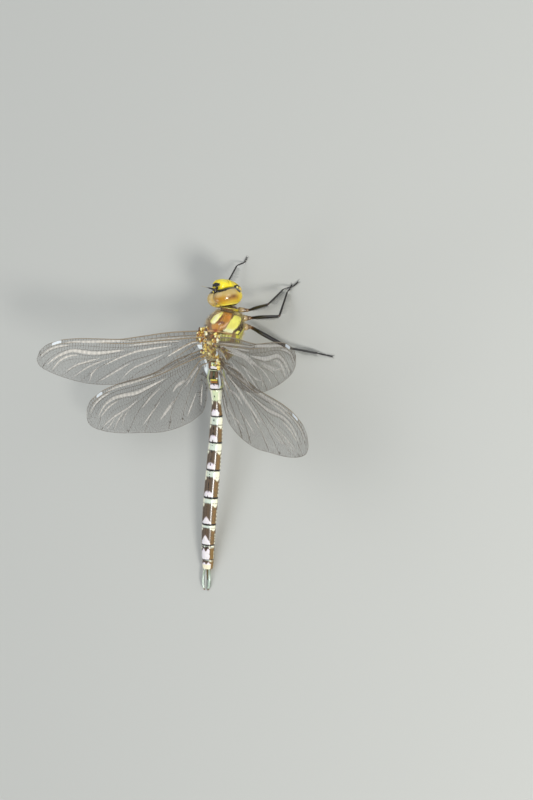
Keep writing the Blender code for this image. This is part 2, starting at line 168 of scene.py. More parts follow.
# %% The floor
bpy.ops.object.select_all(action="DESELECT")
bpy.ops.mesh.primitive_plane_add(size=6.0, location=(0, 0, 0))
floor = bpy.context.active_object
floor.name = "floor"
paper = bpy.data.materials.new("floor_paper")
paper.use_nodes = True
paper.node_tree.nodes["Principled BSDF"].inputs["Base Color"].default_value = (0.60, 0.61, 0.58, 1.0)
paper.node_tree.nodes["Principled BSDF"].inputs["Roughness"].default_value = 0.9
floor.data.materials.append(paper)
floor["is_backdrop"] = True
print("floor laid")

# %% [markdown]
# ## Tools for growing a plate
# An insect's shell is a row of rings: the thorax, each abdomen ring and each leg bone
# is a tube whose girth changes along its length. So each is grown as by hand: a circle
# is drawn, then extruded and resized from station to station, and smoothed with a
# Subdivision Surface modifier. It could be carved from a ball, but extruding keeps rows
# of points along and around the plate, which the relief and the markings need.

# %% Growing and smoothing
def pick_up(piece):
    """Makes one object the only selected and the active one."""
    bpy.ops.object.select_all(action="DESELECT")
    piece.select_set(True)
    bpy.context.view_layer.objects.active = piece
    return piece


def points_of(piece):
    """The places of a piece's points, one row each."""
    flat = np.empty(len(piece.data.vertices) * 3)
    piece.data.vertices.foreach_get("co", flat)
    return flat.reshape(-1, 3)


def new_piece(name, points, faces):
    """A new object from points and faces."""
    mesh = bpy.data.meshes.new(name)
    mesh.from_pydata([tuple(point) for point in points], [], faces)
    piece = bpy.data.objects.new(name, mesh)
    bpy.context.scene.collection.objects.link(piece)
    return pick_up(piece)


def face_out(piece):
    """Turns every face of a closed piece outwards."""
    pick_up(piece)
    bpy.ops.object.mode_set(mode="EDIT")
    bpy.ops.mesh.select_all(action="SELECT")
    bpy.ops.mesh.normals_make_consistent(inside=False)
    bpy.ops.object.mode_set(mode="OBJECT")
    return piece


def in_order(piece, stations, sides):
    """Numbers a tube's points ring by ring, and its faces after them. Extruding leaves them in an
    order that changes from run to run, and the hairs stand on points by number."""
    numbers, points, faces = [], [None] * (len(stations) * sides), []
    for point in points_of(piece):
        ring = min(range(len(stations)), key=lambda k: abs(stations[k][0] - point[2]))
        along, x, y, wide, high = stations[ring]
        step = round(
            math.atan2((point[0] - x) / wide, (point[1] - y) / high) / (2 * math.pi) * sides
        ) % sides
        numbers.append(ring * sides + step)
        angle = 2 * math.pi * step / sides
        points[numbers[-1]] = (x + wide * math.sin(angle), y + high * math.cos(angle), along)
    assert None not in points, piece.name
    for face in piece.data.polygons:
        corners = [numbers[k] for k in face.vertices]
        start = corners.index(min(corners))
        corners = corners[start:] + corners[:start]
        faces.append(corners if corners[1] < corners[-1] else corners[:1] + corners[:0:-1])
    piece.data.clear_geometry()
    piece.data.from_pydata(points, [], sorted(faces))
    piece.data.uv_layers.new(name="UVMap")
    return piece


def grow(name, stations, sides):
    """A closed tube along +Z, through (distance, centre x, centre y, half width, half height)."""
    along, x, y, wide, high = stations[0]
    bpy.ops.object.select_all(action="DESELECT")
    bpy.ops.mesh.primitive_circle_add(vertices=sides, radius=1.0, fill_type="NGON", location=(0, 0, 0))
    piece = bpy.context.active_object
    piece.name = piece.data.name = name
    bpy.ops.object.mode_set(mode="EDIT")
    bpy.ops.mesh.select_all(action="SELECT")
    bpy.ops.transform.resize(value=(wide, high, 1.0), center_override=(0, 0, 0))
    bpy.ops.transform.translate(value=(x, y, along))
    for near, far in zip(stations, stations[1:]):
        step = (far[1] - near[1], far[2] - near[2], far[0] - near[0])
        bpy.ops.mesh.extrude_region_move(TRANSFORM_OT_translate={"value": step})
        ratio = (far[3] / near[3], far[4] / near[4], 1.0)
        bpy.ops.transform.resize(value=ratio, center_override=(far[1], far[2], far[0]))
    bpy.ops.object.mode_set(mode="OBJECT")
    return face_out(in_order(piece, stations, sides))


def smooth_over(piece, levels):
    """Subdivides a piece smoothly and keeps the finer mesh."""
    pick_up(piece)
    bpy.ops.object.modifier_add(type="SUBSURF")
    step = piece.modifiers[-1]
    step.levels = step.render_levels = levels
    bpy.ops.object.modifier_apply(modifier=step.name)
    bpy.ops.object.shade_smooth()
    return piece


def outward(piece):
    """The direction that each point of a piece faces."""
    flat = np.empty(len(piece.data.vertices) * 3)
    piece.data.vertex_normals.foreach_get("vector", flat)
    return flat.reshape(-1, 3)


def set_points(piece, places):
    """Moves all points of a piece."""
    piece.data.vertices.foreach_set("co", np.ascontiguousarray(places).ravel())
    piece.data.update()


def raise_skin(piece, height):
    """Pushes every point out of the skin by its own height."""
    set_points(piece, points_of(piece) + outward(piece) * np.asarray(height)[:, None])


# from growing along +Z to growing backwards, with the ring's height upright
LIE_BACK = Matrix(((1, 0, 0, 0), (0, 0, -1, 0), (0, 1, 0, 0), (0, 0, 0, 1)))


def grow_back(name, stations, sides, levels):
    """A smooth tube that runs backwards from its start."""
    piece = smooth_over(grow(name, stations, sides), levels)
    piece.data.transform(LIE_BACK)
    return piece


def paint(piece, coat):
    """Keeps a colour at each point of a piece."""
    layer = piece.data.color_attributes.new("paint", "FLOAT_COLOR", "POINT")
    rows = np.ones((len(piece.data.vertices), 4), dtype=np.float32)
    rows[:, :3] = np.clip(coat, 0, 1)
    layer.data.foreach_set("color", rows.ravel())


def settle(piece, finish, place=Matrix(), stands_for=(), coat=None):
    """Paints a piece, gives it its one finish and puts it at its place, on the insect's one body."""
    if coat is not None:
        paint(piece, coat)
    piece.data.materials.clear()
    piece.data.materials.append(finish)
    piece.data.transform(Matrix.Scale(MM, 4) @ place)
    piece.data.update()
    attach(piece, "root")
    if stands_for:
        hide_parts(*stands_for)
    return piece


def join(name, pieces):
    """One object of several."""
    pick_up(pieces[0])
    for other in pieces:
        other.select_set(True)
    if len(pieces) > 1:
        bpy.ops.object.join()
    pieces[0].name = pieces[0].data.name = name
    return pieces[0]


print("tools for growing are ready")

# %% [markdown]
# ## Tools for painting
# The markings of the shell are soft-edged patches and lines. They are kept as a colour
# at each point of the mesh, so that they follow the plate in every view and need no
# picture. A patch is a closed outline, a line is a row of knots, and both fade over a
# small width. A slow ripple shifts them a little, because nothing on an insect is ruled.

# %% Patches, lines and colours
def ripple(across, along, size, phase):
    """A smooth, uneven wave between about -1 and 1, whose waves are about a size apart."""
    turns = 2 * math.pi / size
    wave = np.sin(across * turns + 1.3 * np.sin(along * turns * 0.7 + phase))
    wave += np.sin(along * turns * 1.13 + 1.7 * np.sin(across * turns * 0.61 + 2.1 * phase))
    wave += 0.6 * np.sin((across + along) * turns * 1.9 + 3.7 * phase)
    return wave / 2.6


def ease(value):
    """From 0 to 1 without corners."""
    value = np.clip(value, 0.0, 1.0)
    return value * value * (3 - 2 * value)


def way_to(across, along, start, end):
    """Distance of every point from a straight stretch."""
    run, rise = end[0] - start[0], end[1] - start[1]
    share = ((across - start[0]) * run + (along - start[1]) * rise) / max(run * run + rise * rise, 1e-9)
    share = np.clip(share, 0.0, 1.0)
    return np.hypot(across - start[0] - share * run, along - start[1] - share * rise)


def patch(across, along, corners, fade=0.12):
    """1 inside a closed outline and 0 outside it."""
    nearest = np.full(across.shape, 1e9)
    inside = np.zeros(across.shape, dtype=bool)
    for start, end in zip(corners, corners[1:] + corners[:1]):
        nearest = np.minimum(nearest, way_to(across, along, start, end))
        spans = (start[1] > along) != (end[1] > along)
        rise = end[1] - start[1] if end[1] != start[1] else 1e-9
        cross = start[0] + (along - start[1]) * (end[0] - start[0]) / rise
        inside ^= spans & (across < cross)
    return ease(0.5 + np.where(inside, nearest, -nearest) / fade)


def line(across, along, knots, half_width, fade=0.1):
    """1 on a line through knots and 0 away from it."""
    nearest = np.full(across.shape, 1e9)
    for start, end in zip(knots, knots[1:]):
        nearest = np.minimum(nearest, way_to(across, along, start, end))
    return ease(0.5 + (half_width - nearest) / fade)


def band(value, low, high, fade):
    """1 between two values and 0 outside them."""
    return ease(0.5 + (value - low) / fade) * ease(0.5 + (high - value) / fade)


def hill(value, middle, width):
    """A round hill of height 1 around a value."""
    return np.exp(-(((value - middle) / width) ** 2))


def shade(colour):
    """The light of a colour that is given as a screen's six hex digits, or as light already."""
    if not isinstance(colour, str):
        return np.asarray(colour)
    share = np.array([int(colour[k:k + 2], 16) for k in (0, 2, 4)]) / 255.0
    return np.where(share <= 0.04045, share / 12.92, ((share + 0.055) / 1.055) ** 2.4)


def lay(coat, *layers):
    """Paints layers over a coat in turn. Each is (colour, cover), and a cover of 1 hides the coat."""
    coat = shade(coat)
    for colour, cover in layers:
        cover = np.asarray(cover)[:, None]
        coat = coat * (1 - cover) + shade(colour) * cover
    return coat


print("tools for painting are ready")

# %% [markdown]
# ## Finishes
# Every hard plate has the same build: a painted colour, shifted a little by cloudy
# noise, a fine grain raised as bump, a gloss that changes from place to place, and a
# thin clear coat like the wax on a real shell. Only the numbers differ from part to part.

# %% One builder for the shell finishes
def shell_finish(
    name, rough=(0.28, 0.45), cloud=0.10, grain=0.12, grain_size=0.16, coat=0.3, colour=None, glow=0.0,
):
    """A shell material. Sizes are in millimetres. With no colour it reads the painted one."""
    made = bpy.data.materials.new(name)
    made.use_nodes = True
    shader = made.node_tree.nodes["Principled BSDF"]

    def node(kind, **values):
        """A new node with some of its sockets set."""
        box = made.node_tree.nodes.new("ShaderNode" + kind)
        for socket, value in values.items():
            box.inputs[socket.replace("_", " ")].default_value = value
        return box

    place = node("TexCoord")
    base = node("RGB" if colour else "Attribute")
    if colour:
        base.outputs["Color"].default_value = (*colour, 1.0)
    else:
        base.attribute_name = "paint"
    clouds = node("TexNoise", Scale=1.0 / (0.9 * MM), Detail=4.0)
    value = node("MapRange", To_Min=1.0 - cloud * 2, To_Max=1.0 + cloud * 2)
    tone = node("HueSaturation")
    fine = node("TexNoise", Scale=1.0 / (grain_size * MM), Detail=3.0)
    gloss = node("MapRange", To_Min=rough[0], To_Max=rough[1])
    bump = node("Bump", Strength=grain, Distance=0.05 * MM)
    for start, output, end, entry in (
        (place, "Object", clouds, "Vector"), (clouds, "Fac", value, "Value"),
        (base, "Color", tone, "Color"), (value, "Result", tone, "Value"),
        (tone, "Color", shader, "Base Color"), (place, "Object", fine, "Vector"),
        (fine, "Fac", gloss, "Value"), (gloss, "Result", shader, "Roughness"),
        (fine, "Fac", bump, "Height"), (bump, "Normal", shader, "Normal"),
    ):
        made.node_tree.links.new(start.outputs[output], end.inputs[entry])
    shader.inputs["Coat Weight"].default_value = coat
    shader.inputs["Coat Roughness"].default_value = 0.18
    if glow:
        shader.inputs["Subsurface Weight"].default_value = glow
        shader.inputs["Subsurface Radius"].default_value = (0.9, 0.6, 0.3)
        shader.inputs["Subsurface Scale"].default_value = 0.4 * MM
    return made


print("finish builder is ready")

# %% [markdown]
# ## The thorax
# The thorax is the engine room: a deep box that leans back, so that the legs reach
# forward and the wings sit well behind them. Its front face carries two broad pale
# stripes with a keel between them, its flanks are yellow-green panels parted by dark
# seams, and between the wings lie the shields and the soft gutters that let them beat.
# It is grown from nine rings, smoothed to a fine skin, then pushed out and in by hills
# and grooves, because relief this small is easier to measure than to carve.

# %% Grow the thorax
# distance forward, top, bottom, half width
THORAX_STATIONS = (
    (4.5, 2.2, -3.3, 1.9), (3.9, 2.9, -4.3, 2.7), (2.6, 3.9, -5.0, 3.35), (0.8, 4.7, -5.2, 3.75),
    (-1.2, 5.0, -4.7, 3.85), (-3.2, 4.9, -4.0, 3.75), (-5.0, 4.5, -3.1, 3.45), (-6.6, 3.9, -2.1, 2.95),
    (-7.3, 3.4, -1.1, 2.4),
)
rings = [(-y, 0.0, (top + low) / 2, wide, (top - low) / 2) for y, top, low, wide in THORAX_STATIONS]
thorax = grow_back("thorax_shell", rings, 32, 3)
print("thorax points:", len(thorax.data.vertices))

# %% Where each point of the thorax is
# the keel runs a little askew: degrees from the top, and degrees more per millimetre forward
KEEL, KEEL_DRIFT = 28.0, 3.2
ROUND = 0.068  # millimetres of skin per degree around


x, ahead, z = points_of(thorax).T
around = np.degrees(np.arctan2(x, z - 0.3))
from_middle = (around - KEEL - KEEL_DRIFT * np.clip(ahead, 0, 5) + 180) % 360 - 180
beside = np.abs(from_middle) * ROUND
on_back = around * ROUND
flank = np.abs(around) * ROUND
print("around:", round(around.min()), "to", round(around.max()), "degrees")

# %% Raise the keel, the ridges and the shields
relief = 0.16 * hill(from_middle * ROUND, 0, 0.13) * band(ahead, -0.3, 4.1, 0.6)
ridge_line = -0.62 - 0.10 * beside
relief += 0.30 * hill(ahead, ridge_line, 0.20) * band(beside, -1, 3.0, 0.8)
relief -= 0.30 * hill(ahead, ridge_line - 0.52, 0.26) * band(beside, -1, 3.2, 0.8)
for forward_at, aside, high, size in (
    (-2.0, 0.85, 0.34, 0.62), (-3.5, 0.0, 0.42, 0.5), (-4.7, 0.85, 0.3, 0.55), (-6.0, 0.0, 0.3, 0.42),
    (-2.5, 2.35, 0.22, 0.4), (-5.3, 2.2, 0.22, 0.4),
):
    for way in ((1, -1) if aside else (1,)):
        far = np.hypot(on_back - way * aside + 0.05, ahead - forward_at)
        relief += high * np.exp(-((far / size) ** 2)) * band(around, -75, 75, 20)
for aside in (1.75, -1.75):
    relief -= 0.26 * hill(on_back, aside, 0.3) * band(ahead, -6.6, -1.2, 0.6)
relief -= 0.2 * hill(ahead, -4.1, 0.16) * band(np.abs(on_back), -1, 2.6, 0.5)
print("highest relief:", round(float(relief.max()), 2), "mm")

# %% Press in the seams of the flanks
SEAMS = (
    [(5.1, -0.8), (5.6, 0.1), (7.0, 1.4), (8.4, 2.6), (10.3, 3.5)],
    [(6.2, -2.9), (7.2, -1.9), (8.7, -0.6), (10.8, 0.9)],
    [(6.3, -5.2), (7.4, -4.0), (8.9, -2.6), (10.8, -1.3)],
)
seam_cover = np.zeros(len(ahead))
for knots in SEAMS:
    wavy = flank + 0.12 * ripple(flank, ahead, 2.2, 0.4)
    seam_cover = np.maximum(seam_cover, line(wavy, ahead, knots, 0.05, 0.34))
relief -= 0.20 * seam_cover
spiracle = line(flank, ahead, [(7.9, 0.75), (8.25, 1.0)], 0.12, 0.2)
relief -= 0.16 * spiracle
for forward_at in (5.0, 3.4, 1.4):
    relief += 0.2 * np.exp(
        -(((np.abs(around) - 146) * ROUND / 0.9) ** 2) - ((ahead - forward_at) / 0.75) ** 2
    )
relief += band(ahead, -1.4, 2.6, 1.6) * (0.75 * hill(around, -62, 24) + 0.2 * hill(around, 56, 22))
relief += 0.25 * band(ahead, -3.0, 3.6, 1.2) * hill(np.abs(around), 100, 22)
relief += 0.018 * ripple(from_middle * ROUND, ahead, 0.7, 1.1) + 0.012 * ripple(beside, ahead, 0.31, 2.3)
raise_skin(thorax, relief)
print("seams:", len(SEAMS), "on each flank")

# %% [markdown]
# The colours of the front come from a young hawker: an orange-brown glossy field with
# the keel, two broad yellow stripes edged with dark brown, and a tan ridge in front of
# the wings. Each patch is written as degrees around from the top and millimetres
# forward of the middle. The flanks' panels are the same on both sides.

# %% Patches of the thorax
PALE_YELLOW, CREAM = "FEF676", "FFFCCE"
ORANGE_BROWN, DEEP_BROWN, MID_BROWN = "BA822E", "2E190C", "7A522E"
TAN, FLANK_YELLOW, FRESH_GREEN = "D6AC70", "DECE34", "B0B854"
LEFT_STRIPE = [
    (-15, 1.5), (-10, 2.9), (4, 3.6), (16, 3.95), (29, 4.0), (24, 2.9), (17, 1.8), (9, 1.0), (-4, 1.05),
]
RIGHT_STRIPE = [
    (88, 3.6), (
        112, 3.65,
    ), (125, 3.3), (121, 2.5), (100, 1.2), (81, 0.05), (76, -0.6), (40, -0.45), (50, 0.25),
    (58, 1.4), (67, 2.4),
]
FIELD = [
    (27, 4.15), (78, 4.0), (66, 2.6), (56, 1.3), (48, 0.2), (38, -0.35), (8, -0.35), (0, 0.7), (12, 1.2),
    (20, 2.2),
]
DARK_BAND = [(124, 2.45), (84, -0.05), (92, -0.7), (106, -0.8), (130, 0.6), (136, 2.2)]
PALE_WEDGE = [(87, -0.45), (97, 0.15), (111, 0.15), (101, -0.55)]
FLANK_PANELS = (
    [(93, -0.9), (112, -0.2), (150, 1.3), (158, 0.6), (128, -0.9), (98, -2.5)],
    [(96, -3.2), (122, -1.7), (156, 0.1), (160, -1.1), (128, -2.8), (98, -4.6)],
    [(100, -5.4), (124, -3.6), (150, -2.4), (150, -3.4), (118, -5.2)],
)
FRONT_PATCH = [(101, 4.35), (134, 4.8), (139, 4.1), (112, 3.75)]


across = around * ROUND + 0.06 * ripple(around * ROUND, ahead, 1.1, 0.2)
forth = ahead + 0.05 * ripple(ahead, around * ROUND, 0.9, 1.9)


def area(corners, fade, across=across):
    """1 inside an outline of degrees and millimetres."""
    return patch(across, forth, [(degrees * ROUND, at) for degrees, at in corners], fade)


def stroke(knots, half_width, fade):
    """1 on a line of millimetres across and forward."""
    return line(across, forth, knots, half_width, fade)


coat = lay(
    "8A683E",
    ("968854", ease((flank - 5.2) / 2.0)),
    ("604226", 0.7 * ease(ripple(across, forth, 1.6, 0.5) * 0.7)),
)
for corners in FLANK_PANELS:
    coat = lay(coat, (FLANK_YELLOW, area(corners, 0.25, np.abs(across))))
    inner = [(a * 0.97 + 3.5, y - 0.08) for a, y in corners]
    coat = lay(coat, (FRESH_GREEN, 0.5 * area(inner, 1.1, np.abs(across))))
coat = lay(
    coat,
    (DEEP_BROWN, 0.8 * seam_cover),
    (DEEP_BROWN, 0.9 * area(DARK_BAND, 0.18)),
)
print("flanks painted")

# %% The field with its painted highlights, the stripes and their dark edges
field = area(FIELD, 0.2)
coat = lay(
    coat,
    (ORANGE_BROWN, field),
    # a lighter orange pool at the field's upper right: a painted highlight on its gloss
    ("E29242", 0.8 * field * hill(across, 4.0, 0.9) * hill(forth, 3.0, 0.9)),
    (
        "70422E",
        0.85 * field * np.maximum(
            stroke([(1.2, 1.5), (1.9, 3.0)], 0.34, 0.3), stroke([(1.5, 1.5), (2.7, 1.5)], 0.3, 0.35),
        ),
    ),
    # a near-white stroke and two pale cream lines across the field: painted glints on its gloss
    ("F6E2CE", 0.9 * field * stroke([(1.75, 1.0), (2.0, 1.25)], 0.1, 0.16)),
    ("ECBE90", 0.9 * field * stroke([(2.3, 0.35), (2.95, 0.75), (3.7, 1.6)], 0.12, 0.2)),
    ("E2A862", 0.8 * field * stroke([(3.6, 1.4), (4.4, 2.7)], 0.1, 0.18)),
)
stripes = np.maximum(area(LEFT_STRIPE, 0.14), area(RIGHT_STRIPE, 0.14))
margin = np.maximum(area(LEFT_STRIPE, 0.8), area(RIGHT_STRIPE, 0.8))
coat = lay(
    coat,
    (DEEP_BROWN, 0.85 * np.clip(margin * 2.4 - 0.35, 0, 1) * (1 - stripes)),
    (DEEP_BROWN, 0.8 * band(across, -0.9, 8.6, 0.5) * hill(forth, 4.25, 0.16)),
    (PALE_YELLOW, stripes),
    (CREAM, stripes * np.clip(hill(across, 0.4, 0.8) * 0.8 + hill(forth, -0.2, 0.5) * 0.9, 0, 1)),
    (PALE_YELLOW, area(PALE_WEDGE, 0.12)),
    ("F0E4A0", area(FRONT_PATCH, 0.18)),
    (DEEP_BROWN, spiracle),
)
for shift, hue in ((0.0, TAN), (-0.42, "5C3C1E"), (-0.85, "CEB06E"), (-1.5, "80743E")):
    rim = [(-1.5 + shift, 0.2), (-1.45 + shift, 1.9), (-0.8 + shift, 3.3), (0.2 + shift, 4.15)]
    coat = lay(coat, (hue, 0.85 * stroke(rim, 0.12, 0.16)))
print("stripes painted")

# %% The keel, the ridge, and the back between the wings
coat = lay(
    coat,
    (DEEP_BROWN, 0.55 * hill(from_middle * ROUND, 0, 0.06) * band(ahead, -0.3, 4.1, 0.3)),
    (TAN, 0.9 * hill(ahead, ridge_line, 0.2) * band(beside, -1, 3.4, 0.4)),
)
for lag in (0.25, -0.27):
    on_line = hill(ahead, ridge_line + lag, 0.055) * band(beside, -1, 3.4, 0.4)
    coat = lay(coat, (DEEP_BROWN, 0.85 * on_line))
coat = lay(coat, ("8C3012", hill(across, 1.35, 0.45) * hill(ahead, -0.5, 0.4)))
back = band(ahead, -7.6, -1.05, 0.2) * band(on_back, -3.4, 4.9, 0.5)
coat = lay(
    coat,
    ("68542E", back),
    ("965C26", 0.8 * back * hill(ahead, -1.9, 0.5) * hill(on_back, 0.9, 0.5)),
    ("3C2A18", 0.8 * back * hill(ahead, -1.5, 0.3) * hill(on_back, -0.3, 0.4)),
)
SHIELD = [(27, -1.15), (76, -1.0), (72, -2.2), (52, -2.75), (34, -2.7)]
shield = area(SHIELD, 0.2)
coat = lay(coat, ("C8C45C", shield))
for degrees in (33, 42, 52, 64):
    coat = lay(coat, ("5C5422", 0.7 * shield * hill(across, degrees * ROUND, 0.085)))
# two cream lines on the shield, between the dark lines: painted highlights
coat = lay(coat, (CREAM, 0.7 * shield * hill(across, 2.55, 0.14) + 0.5 * shield * hill(across, 3.9, 0.12)))
mottle = ease(0.5 + 1.3 * ripple(on_back, ahead, 1.5, 2.6))
rear_back = back * band(ahead, -7.4, -3.0, 0.3)
coat = lay(
    coat,
    ("CEBA60", 0.85 * rear_back * mottle),
    ("965422", 0.7 * rear_back * ease(ripple(ahead, on_back, 1.1, 0.7) * 1.4)),
    (CREAM, 0.7 * rear_back * hill(on_back, 0.2, 0.35) * (hill(ahead, -3.6, 0.3) + hill(ahead, -6.1, 0.3))),
    (DEEP_BROWN, 0.8 * back * (hill(ahead, -2.95, 0.07) + hill(ahead, -4.15, 0.07))),
)
coat *= 1 + 0.08 * ripple(across, forth, 0.5, 0.9)[:, None]
thorax_wax = shell_finish(
    "thorax_wax", rough=(0.22, 0.42), cloud=0.09, grain=0.16, grain_size=0.14, coat=0.45, glow=0.08,
)
settle(thorax, thorax_wax, THORAX_PLACE, ["thorax"], coat)
print("thorax:", len(thorax.data.polygons), "faces")

# %% [markdown]
# ## The prothorax and the neck
# A small collar carries the front legs, and a soft narrow neck carries the head, which
# a dragonfly can turn almost right round. The collar has a raised rear lobe with a
# yellow edge. Both are grown like the thorax, from a few rings.

# %% Collar and neck
collar = grow_back(
    "prothorax_collar",
    [(-4.45, 0, -0.6, 1.75, 2.4), (-4.62, 0, -0.6, 1.8, 2.45), (-5.1, 0, -0.8, 1.95, 2.55),
     (-5.45, 0, -0.55, 1.6, 2.05), (-5.65, 0, -0.35, 1.25, 1.6)],
    28, 2,
)
x, y, z = points_of(collar).T
turned = np.degrees(np.arctan2(x, z + 0.7))
raise_skin(collar, 0.28 * hill(y, 5.0, 0.22) * hill(turned, 10, 75) - 0.16 * hill(y, 5.33, 0.1))
coat = lay(
    MID_BROWN,
    (PALE_YELLOW, band(y, 4.98, 5.25, 0.1) * hill(turned, 15, 60)),
    (DEEP_BROWN, 0.8 * hill(y, 5.4, 0.1)),
    (FLANK_YELLOW, 0.7 * band(np.abs(turned), 70, 130, 25) * band(y, 4.6, 5.2, 0.2)),
)
settle(collar, thorax_wax, THORAX_PLACE, ["prothorax"], coat)
neck = grow_back(
    "neck_skin",
    [(-5.5, 0, 0.0, 0.78, 0.78), (-5.75, 0, 0.15, 0.86, 0.86), (-5.95, -0.1, 0.35, 0.72, 0.72),
     (-6.15, -0.2, 0.5, 0.84, 0.84), (-6.45, -0.3, 0.7, 0.7, 0.7)],
    20, 2,
)
x, y, z = points_of(neck).T
folds = np.sin(y * 2 * math.pi / 0.21)
raise_skin(neck, 0.04 * folds)
# the valleys between the folds are painted brown: painted shade in the creases
coat = lay("CEBC8C", (MID_BROWN, 0.6 * ease(-folds)))
neck_hide = shell_finish(
    "neck_hide", rough=(0.5, 0.7), cloud=0.08, grain=0.25, grain_size=0.1, coat=0.0, glow=0.1,
)
settle(neck, neck_hide, THORAX_PLACE, ["neck"], coat)
print("collar and neck done")

# %% [markdown]
# ## The abdomen
# Ten rings hang one behind the other and the body narrows at the third, as a hawker's
# does. Every ring slides a little way into the next, which a hem of thin dark skin
# shows. A ring is grown once by a helper that takes its length, widths and tallness,
# and then each is given its own markings: a pale front band, a fine cross line, brown
# fields, white side patches, and the round-topped white spot above the black hind hem.

# %% Sizes of the rings
# length, downward pitch in degrees, half widths at front, middle and rear, height over width
ABDOMEN = (
    (1.6, 10.0, (1.75, 1.8, 1.8), 1.06), (4.8, 15.0, (1.75, 1.95, 1.6), 1.06),
    (6.6, 16.0, (1.5, 1.12, 1.45), 1.08), (6.3, 11.0, (1.48, 1.58, 1.66), 0.98),
    (6.6, 8.0, (1.66, 1.7, 1.74), 0.95), (6.6, 8.0, (1.74, 1.77, 1.8), 0.93),
    (6.4, 9.5, (1.8, 1.79, 1.76), 0.92), (4.9, 11.0, (1.74, 1.7, 1.66), 0.9),
    (3.5, 13.5, (1.62, 1.58, 1.52), 0.88), (2.3, 14.5, (1.48, 1.42, 1.28), 0.86),
)
ABDOMEN_START = Vector((0.0, -7.75, 1.15))
ABDOMEN_TWIST = 18.0


def smooth_between(share, knots):
    """Heights of a smooth curve through evenly or unevenly spaced knots, for an array of places."""
    places = np.array([k[0] for k in knots], dtype=float)
    heights = np.array([k[1] for k in knots], dtype=float)
    slopes = np.gradient(heights, places) if len(knots) > 2 else np.diff(heights) / np.diff(places)
    if len(knots) > 2:
        slopes[0] = (heights[1] - heights[0]) / (places[1] - places[0])
        slopes[-1] = (heights[-1] - heights[-2]) / (places[-1] - places[-2])
    else:
        slopes = np.repeat(slopes, 2)
    share = np.clip(share, places[0], places[-1])
    at = np.clip(np.searchsorted(places, share) - 1, 0, len(places) - 2)
    span = places[at + 1] - places[at]
    u = (share - places[at]) / span
    return (
        heights[at] * (1 + 2 * u) * (1 - u) ** 2 + slopes[at] * span * u * (1 - u) ** 2
        + heights[at + 1] * u * u * (3 - 2 * u) + slopes[at + 1] * span * u * u * (u - 1)
    )


def ring_places():
    """The place of each ring's front, from the thorax backwards."""
    spot = CENTRE + THORAX_TURN.to_3x3() @ ABDOMEN_START
    places = []
    for number, (length, pitch, _, _) in enumerate(ABDOMEN, 1):
        twist = ABDOMEN_TWIST * min(number / 3, 1.0)
        turn = Matrix.Rotation(math.radians(pitch), 4, "X") @ Matrix.Rotation(math.radians(twist), 4, "Y")
        places.append(Matrix.Translation(spot) @ turn)
        spot = spot + turn.to_3x3() @ Vector((0, -length, 0))
    places.append(Matrix.Translation(spot) @ turn)
    return places


RING_PLACES = ring_places()
print("abdomen length:", round(sum(row[0] for row in ABDOMEN), 1), "mm")

# %% Grow one ring
def grow_ring(number):
    """A ring with its hems, in its own frame, and how far along and around each point is."""
    length, _, widths, tall = ABDOMEN[number - 1]
    knots = ((0.0, widths[0]), (length / 2, widths[1]), (length, widths[2]))
    shares = [0.0, 0.015, 0.05, 0.12, 0.24, 0.38, 0.5, 0.62, 0.76, 0.88, 0.95, 0.985, 1.0]
    stations = [(-0.28, 0, 0, 0.80 * widths[0], 0.80 * widths[0] * tall)]
    for share in shares:
        half = float(smooth_between(np.array([share * length]), knots)[0])
        half *= {0.0: 0.90, 0.015: 0.965, 0.985: 1.0, 1.0: 0.955}.get(share, 1.0)
        if number == 2:
            half += 0.26 * math.exp(-(((share - 0.42) / 0.14) ** 2))
        stations.append((share * length, 0, 0, half, half * tall))
    piece = grow_back(f"abdomen_ring_{number:02d}", stations, 24, 2)
    x, y, z = points_of(piece).T
    return piece, -y / length, np.degrees(np.arctan2(x, z / tall))


def ring_relief(piece, number, along, around):
    """The keel along the back, the seam low on each side, and the pleats of the belly."""
    length = ABDOMEN[number - 1][0]
    inside = band(along, 0.03, 0.95, 0.04)
    relief = 0.055 * hill(around, 0, 3.2) * inside
    relief -= 0.10 * hill(np.abs(around), 118, 4.0) * inside
    relief -= 0.06 * hill(np.abs(around), 152, 5.0) * inside
    relief -= 0.045 * hill(
        along, cross_line(number), 0.007 + 0.02 / length,
    ) * band(np.abs(around), -1, 112, 8)
    relief -= 0.05 * hill(along, 0.945, 0.010)
    relief += 0.012 * ripple(around * 0.03, along * length, 0.5, number) * inside
    raise_skin(piece, relief)


def cross_line(number):
    """Where the fine line crosses a ring, as a share of its length."""
    return {1: 0.5, 2: 0.58, 3: 0.42, 4: 0.31, 5: 0.27, 6: 0.23, 7: 0.19, 8: 0.14, 9: 0.12, 10: 0.1}[number]


print("ring builder is ready")

# %% Markings of the rings
LAVENDER, BLUE_GREEN, SIDE_WHITE = "E8DEE8", "CEDACC", "FAF9E0"
RING_BROWN, GOLD_BROWN, RING_BLACK, SMOKE = "625240", "846632", "100D0A", "463C36"
# degrees from each ring's top to its markings' middle, then the rear spot's start and half width
RING_ROLL = (21.0, 18.0, 10.0, 3.0, 1.0, 0.0, 0.0, -2.0, -6.0, -2.0)
SPOT_START = (0.5, 0.70, 0.70, 0.68, 0.70, 0.72, 0.66, 0.46, 0.28, 0.32)
SPOT_HALF = (30, 46, 47, 41, 41, 42, 45, 46, 48, 60)


